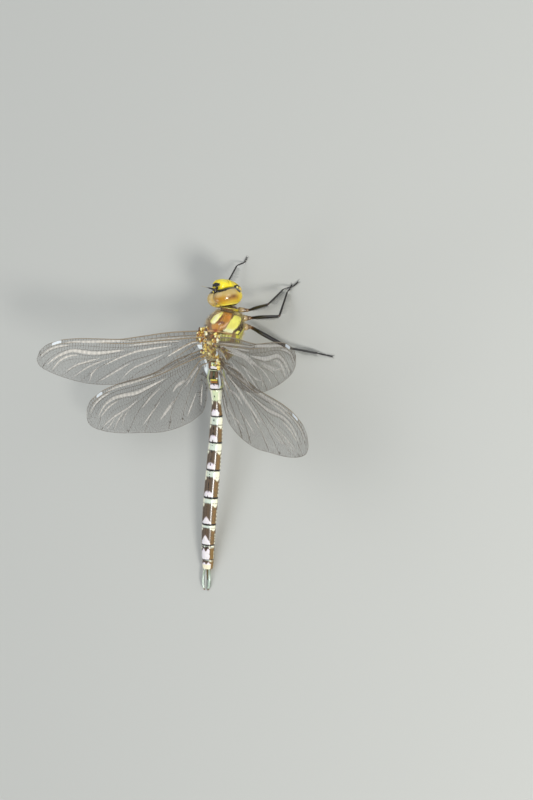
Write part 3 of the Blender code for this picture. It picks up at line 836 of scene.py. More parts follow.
def ring_coat(number, along, around, length):
    """The colours of one ring."""
    spin = (around - RING_ROLL[number - 1] + 180) % 360 - 180
    off = np.abs(spin)
    skin = off * 0.029
    shift = 0.05 * ripple(skin * 2.0, along * length, 1.2, number * 1.7) / length
    place = along + shift
    wobble = off + 4.0 * ripple(along * length, skin, 1.0, number * 0.9)
    coat = lay(
        RING_BROWN,
        (GOLD_BROWN, 0.75 * hill(off, 62, 22) * band(place, cross_line(number), 0.97, 0.1)),
        (SMOKE, 0.55 * hill(off, 33, 13) * band(place, cross_line(number), 0.9, 0.1)),
    )
    blotch = ease(ripple(skin * 2.0 + number, along * length, 0.9, number * 2.1) * 1.6)
    coat = lay(
        coat,
        ("483426", 0.5 * blotch),
        (
            "B08042",
            0.4 * ease(ripple(along * length, skin * 3.0, 1.4, number) * 1.5) * band(off, 44, 96, 10),
        ),
    )
    belly = ease((off - 104) / 14)
    coat = lay(
        coat,
        ("B0A284", belly),
        (SMOKE, 0.7 * ease((off - 150) / 10)),
    )
    line_at = cross_line(number)
    front_hue = "CCD8B2" if number <= 3 else BLUE_GREEN
    coat = lay(
        coat,
        (front_hue, band(place, 0.02, line_at, 0.025) * ease((104 - wobble) / 10)),
        (
            SIDE_WHITE,
            band(
                place, 0.02, line_at + 0.10 + 0.04 * np.sin(spin / 9.0), 0.04,
            ) * band(wobble, np.where(spin < 0, 27, 40), 100, 10),
        ),
    )
    for start in (0.42, 0.56, 0.70, 0.84):
        dash = band(place, start, start + 0.09, 0.03) * band(wobble, 88, 104, 7)
        coat = lay(coat, (SIDE_WHITE, dash * (number > 2)))
    coat = lay(coat, ("342A22", 0.9 * hill(place, line_at, 0.006 + 0.035 / length) * ease((112 - off) / 8)))
    return coat, off, spin, place, wobble


def ring_spots(number, coat, off, spin, place, wobble, length):
    """The pale spot at the rear of a ring and its black hems."""
    half, start = SPOT_HALF[number - 1], SPOT_START[number - 1]
    fall = (wobble / half) ** (1.0 if number in (7, 8) else 2.4)
    top = start + (0.94 - start) * np.clip(fall, 0, 1) * (0.85 if number in (7, 8) else 0.55)
    if number >= 9:
        top = start + 0.10 * np.sin(spin / 7.0)
    spot = ease((place - top) / 0.035) * ease((half - wobble) / 5.0) * (place < 1.2)
    coat = lay(
        coat,
        (LAVENDER, spot),
        ("ECECE8", spot * ease((place - start) / 0.2) * 0.5),
    )
    hem = 0.935 if number < 9 else 0.95
    deep = 0.12 * (1 - ease(off / 30)) if number < 8 else 0.0
    coat = lay(
        coat,
        (RING_BLACK, ease((place - hem) / 0.02) * ease((126 - off) / 10) * (number < 10)),
        (RING_BLACK, ease((0.018 - place) / 0.01) * (number > 1)),
    )
    if 3 <= number <= 8:
        coat = lay(
            coat,
            ("3C2E24", 0.7 * hill(spin, 0, 2.6) * band(place, cross_line(number), start + 0.06, 0.03)),
        )
    return coat


print("ring markings are ready")

# %% The second ring's own marks
def second_ring(coat, off, place):
    """Green flanks, a dark saddle, and a short yellow bar across the middle."""
    coat = lay(
        coat,
        ("CED696", band(off, 44, 110, 8) * band(place, 0.03, 0.95, 0.03)),
        ("3A4226", band(off, -1, 40, 8) * band(place, 0.05, 0.66, 0.04)),
        ("624628", band(off, 8, 30, 8) * band(place, 0.08, 0.4, 0.08)),
        ("F6DE5A", band(off, -1, 24, 5) * band(place, 0.47, 0.53, 0.03)),
        ("9C6028", band(off, -1, 26, 5) * band(place, 0.56, 0.64, 0.03)),
        (DEEP_BROWN, band(off, -1, 34, 5) * hill(place, 0.55, 0.012)),
    )
    return coat


def ninth_ring(coat, spin, off, place):
    """Dark V marks at the front, and golden-brown flanks."""
    coat = lay(
        coat,
        (
            DEEP_BROWN,
            0.9 * band(
                place, 0.04, 0.2 + 0.12 * np.cos(np.radians(spin * 4.0)), 0.05,
            ) * band(off, 6, 60, 8),
        ),
        (GOLD_BROWN, band(off, 50, 92, 8) * band(place, 0.16, 0.92, 0.05)),
        (DEEP_BROWN, 0.5 * hill(off, 52, 3) * band(place, 0.2, 0.8, 0.05)),
    )
    return coat


print("two rings have marks of their own")

# %% Make the ten rings
abdomen_wax = shell_finish(
    "abdomen_wax", rough=(0.2, 0.36), cloud=0.09, grain=0.10, grain_size=0.12, coat=0.55, glow=0.06,
)
for number in range(1, 11):
    length = ABDOMEN[number - 1][0]
    ring, along, around = grow_ring(number)
    ring_relief(ring, number, along, around)
    coat, off, spin, place, wobble = ring_coat(number, along, around, length)
    if number == 1:
        coat = lay(
            coat,
            (MID_BROWN, band(off, 24, 100, 10)),
            (PALE_YELLOW, band(off, -1, 15, 6) * band(place, 0.3, 0.9, 0.1)),
        )
    if number == 2:
        coat = second_ring(coat, off, place)
    if number == 9:
        coat = ninth_ring(coat, spin, off, place)
    coat = ring_spots(number, coat, off, spin, place, wobble, length)
    if number == 10:
        coat = lay(
            coat,
            ("46321E", band(place, 0.0, 0.26, 0.08) * hill(spin, -18, 30)),
            (GOLD_BROWN, 0.8 * band(off, 62, 100, 10)),
            ("F6EEB4", 0.6 * band(place, 0.5, 1.1, 0.1) * ease((58 - off) / 8)),
        )
    coat *= 1 + 0.06 * ripple(around * 0.03, along * length, 0.35, number)[:, None]
    settle(ring, abdomen_wax, RING_PLACES[number - 1], [f"abdomen_s{number:02d}"], coat)
print("rings:", number)

# %% Hold the tail above the floor
def keep_above_floor(piece, lowest=0.02):
    """Flattens whatever of a settled piece would dip under the floor."""
    places = points_of(piece)
    places[:, 2] = np.maximum(places[:, 2], lowest * MM)
    set_points(piece, places)


for name in ("abdomen_ring_10", "abdomen_ring_09"):
    keep_above_floor(bpy.data.objects[name])
print(
    "lowest point of the tail:", round(points_of(bpy.data.objects["abdomen_ring_10"])[:, 2].min() / MM, 3),
    "mm",
)

# %% [markdown]
# ## The claspers
# A male hawker ends in two long, flat upper claspers with which he holds his mate, and
# one shorter lower one between them. They are grown from rings like everything else,
# widest past the middle, with a keel on top, and their blue-green fades to brown tips.

# %% Claspers
CLASPER_LENGTH = 5.2
# share of the length, half width, half height, distance from the middle
CLASPER = (
    (-0.06, 0.24, 0.3, 0.62), (0.0, 0.25, 0.31, 0.62), (0.2, 0.26, 0.31, 0.74), (0.45, 0.36, 0.28, 0.88),
    (0.75, 0.42, 0.25, 0.8), (0.93, 0.3, 0.2, 0.56), (1.0, 0.13, 0.12, 0.42),
)
for letter, side in SIDES.items():
    stations = [
        (CLASPER_LENGTH * share, side * out, 0.42 + 0.4 * math.sin(2 * share), wide, high)
        for share, wide, high, out in CLASPER
    ]
    clasper = grow_back(f"clasper_{letter}", stations, 16, 2)
    x, y, z = points_of(clasper).T
    share = -y / CLASPER_LENGTH
    centre_line = side * np.interp(share, [row[0] for row in CLASPER[1:]], [row[3] for row in CLASPER[1:]])
    above = z > 0.42 + 0.4 * np.sin(2 * share)
    raise_skin(clasper, 0.10 * hill(x - centre_line, 0, 0.09) * above * band(share, 0.1, 0.95, 0.1))
    coat = lay(
        "B0C2B4",
        ("78846E", 0.6 * band(share, -0.2, 0.25, 0.15)),
        ("3E463C", 0.8 * ease((np.abs(x - centre_line) - 0.24) / 0.12)),
        ("684828", ease((share - 0.86) / 0.1)),
    )
    settle(clasper, abdomen_wax, RING_PLACES[10], [f"cercus_{letter}"], coat)
    keep_above_floor(clasper)
stations = [
    (3.0 * share, 0, -0.42 + 0.25 * share, wide, 0.27)
    for share, wide in ((-0.1, 0.6), (0.0, 0.64), (0.5, 0.44), (0.9, 0.28), (1.0, 0.14))
]
lower = grow_back("clasper_lower", stations, 16, 2)
x, y, z = points_of(lower).T
coat = lay("968054", (DEEP_BROWN, ease((-y - 2.2) / 0.8)))
settle(lower, abdomen_wax, RING_PLACES[10], ["epiproct"], coat)
keep_above_floor(lower)
print("three claspers")

# %% [markdown]
# ## The head
# A hawker's head is nearly all eyes: two great domes that meet in a seam on top. In
# front of them stands the face, a swollen yellow brow over two broad lips, with a black
# T on the brow's top. Behind the brow a small knob carries three tiny simple eyes and
# the feelers, which are two short bristles. Each dome is a ball of the eye's own size,
# cut flat at the middle. A ball is the true shape here, and painting, facets and the
# cut make it an eye.

# %% The domes of the eyes
EYE_CENTRE, EYE_SIZE = Vector((1.5, -0.9, 0.45)), Vector((2.85, 2.4, 3.6))


def ball(name, centre, size, segments=48, rows=32):
    """A stretched ball in the head's frame, in millimetres."""
    bpy.ops.object.select_all(action="DESELECT")
    bpy.ops.mesh.primitive_uv_sphere_add(
        segments=segments, ring_count=rows, radius=1.0, location=centre, scale=size
    )
    bpy.ops.object.transform_apply(location=True, rotation=True, scale=True)
    made = bpy.context.active_object
    made.name = made.data.name = name
    bpy.ops.object.shade_smooth()
    return made


def eye_dome(letter, side):
    """One eye, cut at the seam, in the head's own frame."""
    dome = ball(f"eye_dome_{letter}", (side * EYE_CENTRE.x, EYE_CENTRE.y, EYE_CENTRE.z), EYE_SIZE, 128, 96)
    bpy.ops.object.mode_set(mode="EDIT")
    bpy.ops.mesh.select_all(action="SELECT")
    bpy.ops.mesh.bisect(
        plane_co=(side * 0.03, 0, 0), plane_no=(1, 0, 0), use_fill=True,
        clear_inner=side > 0, clear_outer=side < 0,
    )
    bpy.ops.object.mode_set(mode="OBJECT")
    bpy.ops.object.shade_smooth_by_angle(angle=math.radians(50))
    return dome


def eye_relief(dome, side):
    """Sinks the seam between the eyes and draws its rear end forward."""
    places = points_of(dome)
    x, y, z = places.T
    near_seam = hill(x * side, 0.0, 0.35)
    upper = ease((z - 1.0) / 2.0)
    places[:, 2] -= 0.20 * near_seam * upper
    places[:, 1] += 0.12 * near_seam * ease(-(y + 1.8))
    set_points(dome, places)


def eye_coat(dome, side):
    """Beige in front, gold behind and yellow below, with a dark rim and the dark false pupils."""
    x, y, z = points_of(dome).T
    out = x * side
    beige = ease((y + 1.0 + 0.15 * (out - 2)) / 1.3) * ease((z + 1.8) / 2.2)
    coat = lay(
        "BE8E26",
        ("C8B070", beige if side > 0 else np.maximum(beige, 0.85 * ease((y + 2.6) / 0.8))),
        ("AA7614", 0.7 * hill(out, 2.2, 1.3) * hill(y, -1.35, 0.7) * ease(z + 0.6) * (side > 0)),
        ("D6B428", ease((-1.75 - y + 0.15 * (out - 2)) / 0.8)),
        ("E8CC32", ease((0.5 - z) / 2.4) * ease((0.7 - y))),
        ("F6E454", ease((-2.35 - y) / 0.3)),
        ("F6E63C", ease((-1.9 - z) / 0.5)),
        ("AA9874", 0.6 * hill(out, 0.05, 0.16) * ease((z - 0.8))),
    )
    for mid_y, mid_z, tall, dark in (
        (-0.95, 0.75, 0.8, 0.9), (-1.1, 1.9, 0.7, 0.6), (-1.35, -0.3, 0.3, 0.35),
    ):
        false_pupil = np.exp(-(((y - mid_y) / 0.45) ** 2) - ((z - mid_z) / tall) ** 2) * (out > 2.2)
        coat = lay(coat, ("683A08", dark * false_pupil))
    front = y - (0.88 - 0.10 * np.abs(z - 0.6) - 0.16 * ease(z - 1.3)) + 0.05 * ripple(z, out, 0.9, 0.4)
    coat = lay(coat, ("100B06", ease(front / 0.14 + 0.5) * ease((z + 2.1) / 0.3)))
    cheek_spot = np.hypot((y - 0.5) / 0.9, (z + 1.45) / 0.75)
    coat = lay(
        coat,
        ("100B06", ease((1.0 - cheek_spot) / 0.15)),
        ("0E0A06", ease((-2.78 - y) / 0.06)),
    )
    return coat


def eye_glass():
    """Glossy domes with thousands of fine facets."""
    made = shell_finish("eye_facets", rough=(0.12, 0.2), cloud=0.05, grain=0.0, coat=0.75, glow=0.12)
    nodes, links = made.node_tree.nodes, made.node_tree.links
    cells = nodes.new("ShaderNodeTexVoronoi")
    cells.feature = "F1"
    cells.inputs["Scale"].default_value = 1.0 / (0.075 * MM)
    links.new(nodes["Texture Coordinate"].outputs["Object"], cells.inputs["Vector"])
    bump = nodes["Bump"]
    bump.invert = True
    bump.inputs["Strength"].default_value = 0.22
    bump.inputs["Distance"].default_value = 0.03 * MM
    links.new(cells.outputs["Distance"], bump.inputs["Height"])
    nodes["Principled BSDF"].inputs["Coat Roughness"].default_value = 0.06
    return made


eye_facets = eye_glass()
for letter, side in SIDES.items():
    dome = eye_dome(letter, side)
    eye_relief(dome, side)
    settle(dome, eye_facets, HEAD_PLACE, [f"eye_{letter}"], eye_coat(dome, side))
print("eye width:", round(EYE_SIZE.x * 2, 1), "mm each, before the cut")

# %% [markdown]
# ## The head's capsule and the knob between the eyes
# Behind and under the eyes is the black and yellow capsule that holds them. Its rear is
# hollow, where the neck enters. The knob in front, the vertex, is black with a yellow
# top and carries the three simple eyes, which are small glossy beads.

# %% Capsule
capsule = ball("head_capsule", (0, -0.95, -0.1), (2.55, 1.75, 3.15), 96, 64)
places = points_of(capsule)
hollow = hill(places[:, 0], 0, 1.5) * hill(places[:, 2], 0.1, 1.7) * ease((-1.6 - places[:, 1]) / 0.8)
places[:, 1] += 1.35 * hollow
set_points(capsule, places)
raise_skin(capsule, 0.03 * ripple(places[:, 0], places[:, 2], 0.8, 1.0))
parts = [capsule] + [ball("capsule_part", centre, size) for centre, size in (
    ((0, 0.6, 1.75), (0.72, 1.3, 1.3)), ((0, -2.35, 2.5), (0.62, 0.62, 0.72)), (
        (0, -0.4, -2.75), (2.25, 1.65, 0.95),
    ),
    ((1.0, -2.2, -1.7), (1.1, 0.7, 1.0)), ((-1.0, -2.2, -1.7), (1.1, 0.7, 1.0)),
)]
capsule = join("head_capsule", parts)
x, y, z = points_of(capsule).T
coat = lay(
    "1A140E",
    ("ECD046", hill(y, -2.6, 0.35) * ease((z - 2.2) / 0.4)),
    ("D6BA50", 0.85 * ease((-1.9 - z) / 0.5) * ease((0.4 - y) / 0.5)),
    ("E2C860", 0.8 * hill(np.abs(x), 1.9, 0.5) * ease((-1.9 - y) / 0.3)),
    ("968054", hill(x, 0, 1.2) * hill(z, 0.1, 1.4) * ease((-1.2 - y) / 0.4)),
)
head_wax = shell_finish("head_wax", rough=(0.25, 0.45), cloud=0.07, grain=0.16, grain_size=0.12, coat=0.4)
settle(capsule, head_wax, HEAD_PLACE, ["head"], coat)
print("capsule made of", len(parts), "grown shapes")

# %% Knob and simple eyes
knob = ball("head_knob", (0, 0.9, 2.85), (0.66, 0.56, 0.52), 40, 28)
x, y, z = points_of(knob).T
raise_skin(knob, 0.07 * hill(np.hypot(x, y - 0.75), 0.34, 0.14) * (z > 2.9))
coat = lay("16100A", ("F0D83C", ease((0.25 - np.hypot(x + 0.05, y - 0.78)) / 0.08) * (z > 2.9)))
settle(knob, head_wax, HEAD_PLACE, coat=coat)
beads = join("simple_eyes", [ball("bead", spot, (size,) * 3, 20, 14) for spot, size in (
    ((0.5, 1.12, 3.02), 0.14), ((-0.5, 1.12, 3.02), 0.14), ((0, 1.42, 2.86), 0.17),
)])
bead_glass = shell_finish(
    "bead_glass", rough=(0.08, 0.14), cloud=0.05, grain=0.02, coat=0.8, colour=(0.30, 0.20, 0.10),
)
settle(beads, bead_glass, HEAD_PLACE)
print("knob and three simple eyes")

# %% [markdown]
# ## The face and the mouth
# The brow is a swollen block with a flat top, the lips hang below it, and the jaws
# close under them. The blocks are grown upward from level ovals, then creased along the
# lines where the real plates join.

# %% Brow and lips
# height, half width, centre forward, half depth
BROW = (
    (-1.3, 1.9, 1.5, 1.1), (
        -1.25, 2.2, 1.6, 1.35,
    ), (-0.95, 2.3, 1.7, 1.45), (-0.4, 2.36, 1.75, 1.5), (0.2, 2.38, 1.8, 1.58),
    (0.6, 2.38, 1.85, 1.6), (1.5, 2.3, 1.87, 1.6), (
        2.0, 2.12, 1.85, 1.52,
    ), (2.32, 1.8, 1.8, 1.25), (2.42, 1.3, 1.75, 0.85),
)
brow = smooth_over(grow("face_brow", [(h, 0, f, w, d) for h, w, f, d in BROW], 28), 3)
x, y, z = points_of(brow).T
relief = -0.12 * hill(z, -0.15 + 0.06 * x * x, 0.10) * ease((y - 1.6) / 0.5)
relief -= 0.05 * hill(z, -0.95, 0.08) * ease((y - 1.4) / 0.5)
relief += 0.10 * hill(np.abs(x), 0.95, 0.75) * hill(z, 1.1, 0.75) * ease((y - 1.8) / 0.5)
relief -= 0.10 * hill(x, 0, 0.16) * ease((z - 1.7) / 0.5)
relief += 0.02 * ripple(x, z, 0.5, 0.7)
raise_skin(brow, relief)
x, y, z = points_of(brow).T
top = ease((z - 1.95) / 0.25)
coat = lay(
    "F8E222",
    ("FCF058", 0.8 * hill(z, 1.2, 0.8) * ease((y - 2.2) / 0.6)),
    ("CEBE4A", 0.7 * ease((-0.3 - z) / 0.5)),
)
wavy = 0.05 * ripple(x, y, 0.6, 0.3)
cross_bar = band(y + wavy, 1.9, 2.86 - 0.22 * np.abs(x), 0.12) * band(np.abs(x) + wavy, -1, 1.62, 0.15)
stem = band(np.abs(x) + wavy, -1, 0.24 + 0.18 * ease((y - 1.6) / 0.5), 0.1) * band(y, 0.0, 2.2, 0.1)
coat = lay(
    coat,
    ("0E0A06", np.maximum(cross_bar, stem) * top),
    ("785C1E", 0.7 * hill(z, -0.15 + 0.06 * x * x, 0.06) * ease((y - 1.6) / 0.5)),
    ("967824", 0.35 * ease(ripple(x, z, 0.9, 2.2)) * ease((y - 2.0) / 0.5) * ease((1.6 - z) / 0.5)),
    ("100C08", ease((1.02 - y) / 0.12) * ease((2.3 - np.abs(z - 1.0)) / 0.4)),
)
settle(brow, head_wax, HEAD_PLACE, ["face"], coat)

# height, half width, centre forward, half depth
LIPS = (
    (-3.52, 0.7, 0.45, 0.5), (
        -3.45, 1.0, 0.55, 0.75,
    ), (-3.15, 1.5, 0.8, 0.97), (-2.75, 1.8, 1.0, 1.12), (-2.42, 1.93, 1.15, 1.2),
    (-2.3, 1.96, 1.2, 1.22), (-1.75, 2.1, 1.4, 1.3), (-1.36, 2.1, 1.5, 1.3), (-1.28, 1.9, 1.45, 1.1),
)
lips = smooth_over(grow("face_lips", [(h, 0, f, w, d) for h, w, f, d in LIPS], 28), 2)
x, y, z = points_of(lips).T
raise_skin(
    lips,
    -0.13 * hill(
        z, -2.32 + 0.05 * x * x, 0.09,
    ) * ease((y - 1.2) / 0.5) - 0.08 * hill(x, 0, 0.12) * ease((-2.6 - z) / 0.3),
)
coat = lay(
    "E8CE3C",
    ("22180C", 0.8 * hill(z, -2.32 + 0.05 * x * x, 0.10)),
    ("0E0A06", band(np.abs(x), 1.45, 3.0, 0.15) * band(y, -1.0, 1.55, 0.15) * band(z, -2.9, -1.2, 0.15)),
    ("FAF096", ease((1.0 - np.hypot((y - 0.9) / 0.34, (z + 2.15) / 0.4)) / 0.2) * (np.abs(x) > 1.3)),
    ("3C2C14", 0.6 * ease((-3.2 - z) / 0.2)),
)
settle(lips, head_wax, HEAD_PLACE, ["labrum"], coat)
print("brow", len(brow.data.polygons), "faces, lips", len(lips.data.polygons))

# %% Jaws
jaws = [ball("jaw", (side * 1.35, 0.35, -2.95), (0.75, 0.9, 0.5), 32, 24) for side in (-1, 1)]
jaws = join("jaws", jaws + [ball("under_lip", (0, -0.5, -3.35), (1.25, 1.25, 0.32), 40, 28)])
x, y, z = points_of(jaws).T
coat = lay("D6BA5C", ("3C2412", hill(np.abs(x), 0.0, 0.14) + 0.6 * ease((y - 0.8) / 0.3)))
settle(jaws, head_wax, HEAD_PLACE, coat=coat)
print("jaws and under lip")

# %% [markdown]
# ## Feelers
# Each feeler has two stout joints and then a bristle as thin as a hair. The solid is
# half a millimetre thick so that it can be made and held; the bristle here has its
# true look, a taper to a fine point along the same line.

# %% A limb between two points
def limb(name, spots, sides=14):
    """A round limb along spots in the body's frame. Each spot is (place, half thickness)."""
    lengths = [0.0]
    for (near, _), (far, _) in zip(spots, spots[1:]):
        lengths.append(lengths[-1] + (far - near).length)
    path = np.array([tuple(spot) for spot, _ in spots])

    def track(at):
        """Places on the limb's path at distances from its start."""
        at = np.clip(at, 0, lengths[-1])
        return np.stack([smooth_between(at, list(zip(lengths, path[:, k]))) for k in range(3)], axis=1)

    stations = [(along, 0, 0, thick, thick) for along, (_, thick) in zip(lengths, spots)]
    piece = smooth_over(grow(name, stations, sides), 1)
    places = points_of(piece)
    along = np.clip(places[:, 2], 0, lengths[-1])
    step = 0.02 * lengths[-1]
    way = track(along + step) - track(along - step)
    way /= np.linalg.norm(way, axis=1)[:, None]
    steep = abs((spots[-1][0] - spots[0][0]).normalized().z) >= 0.9
    side = np.cross(way, (1.0, 0.0, 0.0) if steep else (0.0, 0.0, 1.0))
    side /= np.linalg.norm(side, axis=1)[:, None]
    spill = (places[:, 2] - along)[:, None]
    bent = track(along) + side * places[:, :1] + np.cross(side, way) * places[:, 1:2] + way * spill
    set_points(piece, bent)
    return face_out(piece), along / lengths[-1]


FEELER_BASE = Vector((0.95, 1.45, 2.8))
FEELER_TIP = {"L": Vector((2.7, 2.6, 4.9)), "R": Vector((3.3, 2.3, 2.9))}
feeler_wax = shell_finish("feeler_wax", rough=(0.3, 0.4), cloud=0.06, grain=0.05, coat=0.2)
for letter, side in SIDES.items():
    base, tip = (Vector((side * spot.x, spot.y, spot.z)) for spot in (FEELER_BASE, FEELER_TIP[letter]))
    bend = base.lerp(tip, 0.45) + Vector((0, 0.1, 0.2))
    root = base - (bend - base) * 0.25
    spots = [
        (root, 0.2), (base, 0.24), (base.lerp(bend, 0.2), 0.23), (
            base.lerp(bend, 0.27), 0.13,
        ), (base.lerp(bend, 0.36), 0.17),
        (base.lerp(bend, 0.6), 0.15), (
            base.lerp(bend, 0.68), 0.06,
        ), (bend, 0.055), (bend.lerp(tip, 0.6), 0.04), (tip, 0.015),
    ]
    feeler, share = limb(f"feeler_{letter}", spots)
    coat = lay("261A10", ("C4B48C", 0.75 * ease((share - 0.45) / 0.25)))
    settle(feeler, feeler_wax, HEAD_PLACE, [f"antenna_{letter}"], coat)
print("two feelers")

# %% [markdown]
# ## The legs
# Six spiny legs make a basket for catching flies in the air. Each has a stout hip, a
# strong thigh, a thin shin with two rows of stiff spines, and a foot of three joints
# with two claws. The bones are grown like the feelers. One spine and one claw are
# modelled once as fine cones and copied, because there are hundreds.

# %% Leg sizes
# socket and hinge from the thorax centre, and the leg's half thickness
HIPS = {
    "fore": ((1.3, 5.15, -3.1), (2.6, 5.3, -4.2), 0.36), "mid": (
        (2.08, 3.35, -4.0), (2.9, 3.6, -5.0), 0.42,
    ),
    "hind": ((2.45, 1.35, -4.45), (2.95, 1.5, -5.3), 0.48),
}
# knee, ankle and toe from the floor point under the thorax centre
LEGS = {
    "fore_R": ((9.2, 7.5, 6.6), (8.7, 11.8, 2.0), (11.3, 14.1, 0.19)),
    "mid_R": ((11.2, 5.25, 4.25), (9.0, 11.4, 0.8), (9.4, 13.2, 0.19)),
    "hind_R": ((14.3, -1.6, 2.45), (22.4, -1.7, 1.0), (26.4, -1.85, 0.19)),
    "fore_L": ((-7.6, 10.5, 4.8), (-7.9, 15.9, 2.1), (-7.0, 18.2, 0.19)),
    "mid_L": ((-10.6, 1.5, 1.9), (-13.5, -5.2, 0.95), (-14.5, -8.5, 0.19)),
    "hind_L": ((-10.4, -8.3, 3.7), (-8.6, -15.9, 1.0), (-6.9, -18.9, 0.19)),
}
FLOOR_POINT = Vector((CENTRE.x, CENTRE.y, 0))
DOWN = Vector((0, 0, -1))
leg_wax = shell_finish("leg_wax", rough=(0.2, 0.36), cloud=0.08, grain=0.10, grain_size=0.1, coat=0.8)


def leg_points(name):
    """Socket, hinge, knee, ankle and toe of a leg in the body's frame, in millimetres."""
    pair, letter = name.split("_")
    socket, hinge, thick = HIPS[pair]
    side = SIDES[letter]
    upper = [THORAX_PLACE @ Vector((side * x, y, z)) for x, y, z in (socket, hinge)]
    return upper + [FLOOR_POINT + Vector(spot) for spot in LEGS[name]] + [thick]


print("six legs listed")

# %% Spines and claws
def cone_points(start, way, length, thick, bend):
    """Points of one spine: three rings of three and a tip."""
    way = way.normalized()
    side = way.orthogonal().normalized()
    up = way.cross(side)
    points = []
    for share, girth in ((0.0, 1.0), (0.5, 0.7), (0.85, 0.35)):
        middle = start + way * (length * share) + bend * (length * share * share)
        for k in range(3):
            angle = 2 * math.pi * k / 3
            points.append(middle + (side * math.cos(angle) + up * math.sin(angle)) * (thick * girth))
    points.append(start + way * length + bend * length)
    return points


CONE_FACES = [(2, 1, 0)]
for row in (0, 3):
    for k in range(3):
        CONE_FACES.append((row + k, row + (k + 1) % 3, row + 3 + (k + 1) % 3, row + 3 + k))
CONE_FACES += [(6, 7, 9), (7, 8, 9), (8, 6, 9)]


def bristles(name, cones):
    """One mesh of many spines. Each is (start, way, length, half thickness, bend)."""
    points, faces = [], []
    for cone in cones:
        faces += [tuple(len(points) + k for k in face) for face in CONE_FACES]
        points += cone_points(*cone)
    piece = face_out(new_piece(name, points, faces))
    bpy.ops.object.shade_smooth()
    return piece


print("a spine has", len(CONE_FACES), "faces")

# %% Bones of one leg
# share of the way from joint to joint, girth over the leg's own, and how far it is pushed
BONES = {
    "hip": ((0, 1.6, -0.9), (0, 1.9, -0.3), (0.25, 1.7, 0), (0.55, 1.3, 0), (0.66, 1.12, 0), (0.85, 1.2, 0),
            (1, 1.05, 0), (1, 0.8, 0.12)),
    "thigh": ((0, 0.75, 0), (0.06, 1.0, 0), (0.1, 0.86, 0), (0.3, 1.18, 1), (0.6, 1.04, 1), (0.88, 0.84, 0),
              (0.96, 0.95, 0), (1, 0.62, 0)),
    "shin": ((-0.02, 0.5, 0), (0.03, 0.72, 0), (0.08, 0.6, 0), (0.5, 0.56, 0), (0.9, 0.48, 0),
             (0.97, 0.56, 0), (1, 0.36, 0)),
}


def leg_coat(share, kind):
    """Black bones with reddish-brown roots on the thigh and pale joints."""
    layers = {
        "hip": (("7E603C", share < 2), ("D6BE8C", 0.7 * hill(share, 0.35, 0.2)),
                ("3C2214", 0.8 * hill(share, 0.68, 0.06))),
        "thigh": (("603A1C", ease((0.11 - share) / 0.05)), ("C4A06E", ease((0.05 - share) / 0.03))),
        "shin": (("462E1E", ease((0.07 - share) / 0.04)),),
    }
    return lay("140F0C", *layers.get(kind, ()))


def bone(name, kind, spots, node):
    """One painted bone of a leg, standing for its solid."""
    piece, share = limb(name, spots)
    settle(
        piece, leg_wax, stands_for=[node],
        coat=leg_coat(share, kind),
    )
    return piece


def make_leg(name):
    """Hip, thigh, shin, foot, spines and claws of one leg."""
    socket, hinge, knee, ankle, toe, thick = leg_points(name)
    bow = Vector((0, 0, 0.02)) * (knee - hinge).length
    for kind, node, start, end, push in (
        ("hip", "coxa", socket, hinge, (hinge - socket).normalized()),
        ("thigh", "femur", hinge, knee, bow), ("shin", "tibia", knee, ankle, Vector()),
    ):
        spots = [(start.lerp(end, share) + push * far, thick * girth) for share, girth, far in BONES[kind]]
        bone(f"{kind}_{name}", kind, spots, f"{node}_{name}")
    middle = ankle.lerp(toe, 0.5)
    middle.z = toe.z + 0.03
    lift = Vector((0, 0, 0.02))
    spots = [(ankle, 0.13)]
    for near, far in ((ankle, middle), (middle, middle.lerp(toe, 0.5)), (middle.lerp(toe, 0.5), toe)):
        spots += [
            (near.lerp(far, 0.12) + lift, 0.155), (near.lerp(far, 0.8) + lift, 0.19),
            (near.lerp(far, 0.97) + lift, 0.12),
        ]
    foot = bone(f"foot_{name}", "foot", spots, f"tarsus_{name}")
    keep_above_floor(foot, 0.0)
    return leg_spines(name, hinge, knee, ankle, middle, toe, thick)


def leg_spines(name, hinge, knee, ankle, middle, toe, thick):
    """Two rows of spines on the thigh and the shin, small ones on the foot, and two claws."""
    draw = random.Random("spines of " + name)
    cones = []
    for start, end, count, size, girth in ((hinge, knee, 20, 0.75, 0.95), (knee, ankle, 17, 1.35, 0.55)):
        way = (end - start).normalized()
        below = (DOWN - way * way.dot(DOWN)).normalized()
        aside = way.cross(below)
        for row in (-1, 1):
            for k in range(count):
                share = 0.14 + 0.80 * (k + 0.5 * (row > 0)) / count
                out = (below + aside * row * 0.75 + way * 0.55).normalized()
                beneath = (below + aside * row * 0.6).normalized()
                spot = start.lerp(end, share) + beneath * thick * girth * 0.75
                long = size * draw.uniform(0.8, 1.15) * (0.7 + 0.5 * math.sin(math.pi * share))
                if out.z < 0:
                    long = min(long, max((spot.z - 0.03) / -out.z, 0.1))
                cones.append((spot, out, long, 0.055, Vector()))
    for start, end in ((ankle, middle), (middle, toe)):
        way = (end - start).normalized()
        aside = -way.cross(DOWN).normalized()
        for row in (-1, 1):
            for k in range(5):
                spot = start.lerp(end, 0.2 + 0.16 * k) + aside * row * 0.12
                cones.append((spot, way * 0.7 + aside * row * 0.6, 0.34, 0.035, Vector((0, 0, -0.05))))
    way = toe - middle
    way.z = 0
    way.normalize()
    aside = -way.cross(DOWN)
    for row in (-1, 1):
        start = toe - way * 0.1 + aside * row * 0.06 + Vector((0, 0, 0.06))
        cones.append(
            (
                start, way * 0.75 + aside * row * 0.42 + Vector((0, 0, 0.12)), 0.75, 0.075,
                Vector((0, 0, -0.36)),
            )
        )
    spines = bristles(f"spines_{name}", cones)
    settle(spines, leg_wax, coat=shade("120D0A"))
    keep_above_floor(spines, 0.0)
    return len(cones)


total = sum(make_leg(name) for name in LEGS)
print("spines and claws:", total)

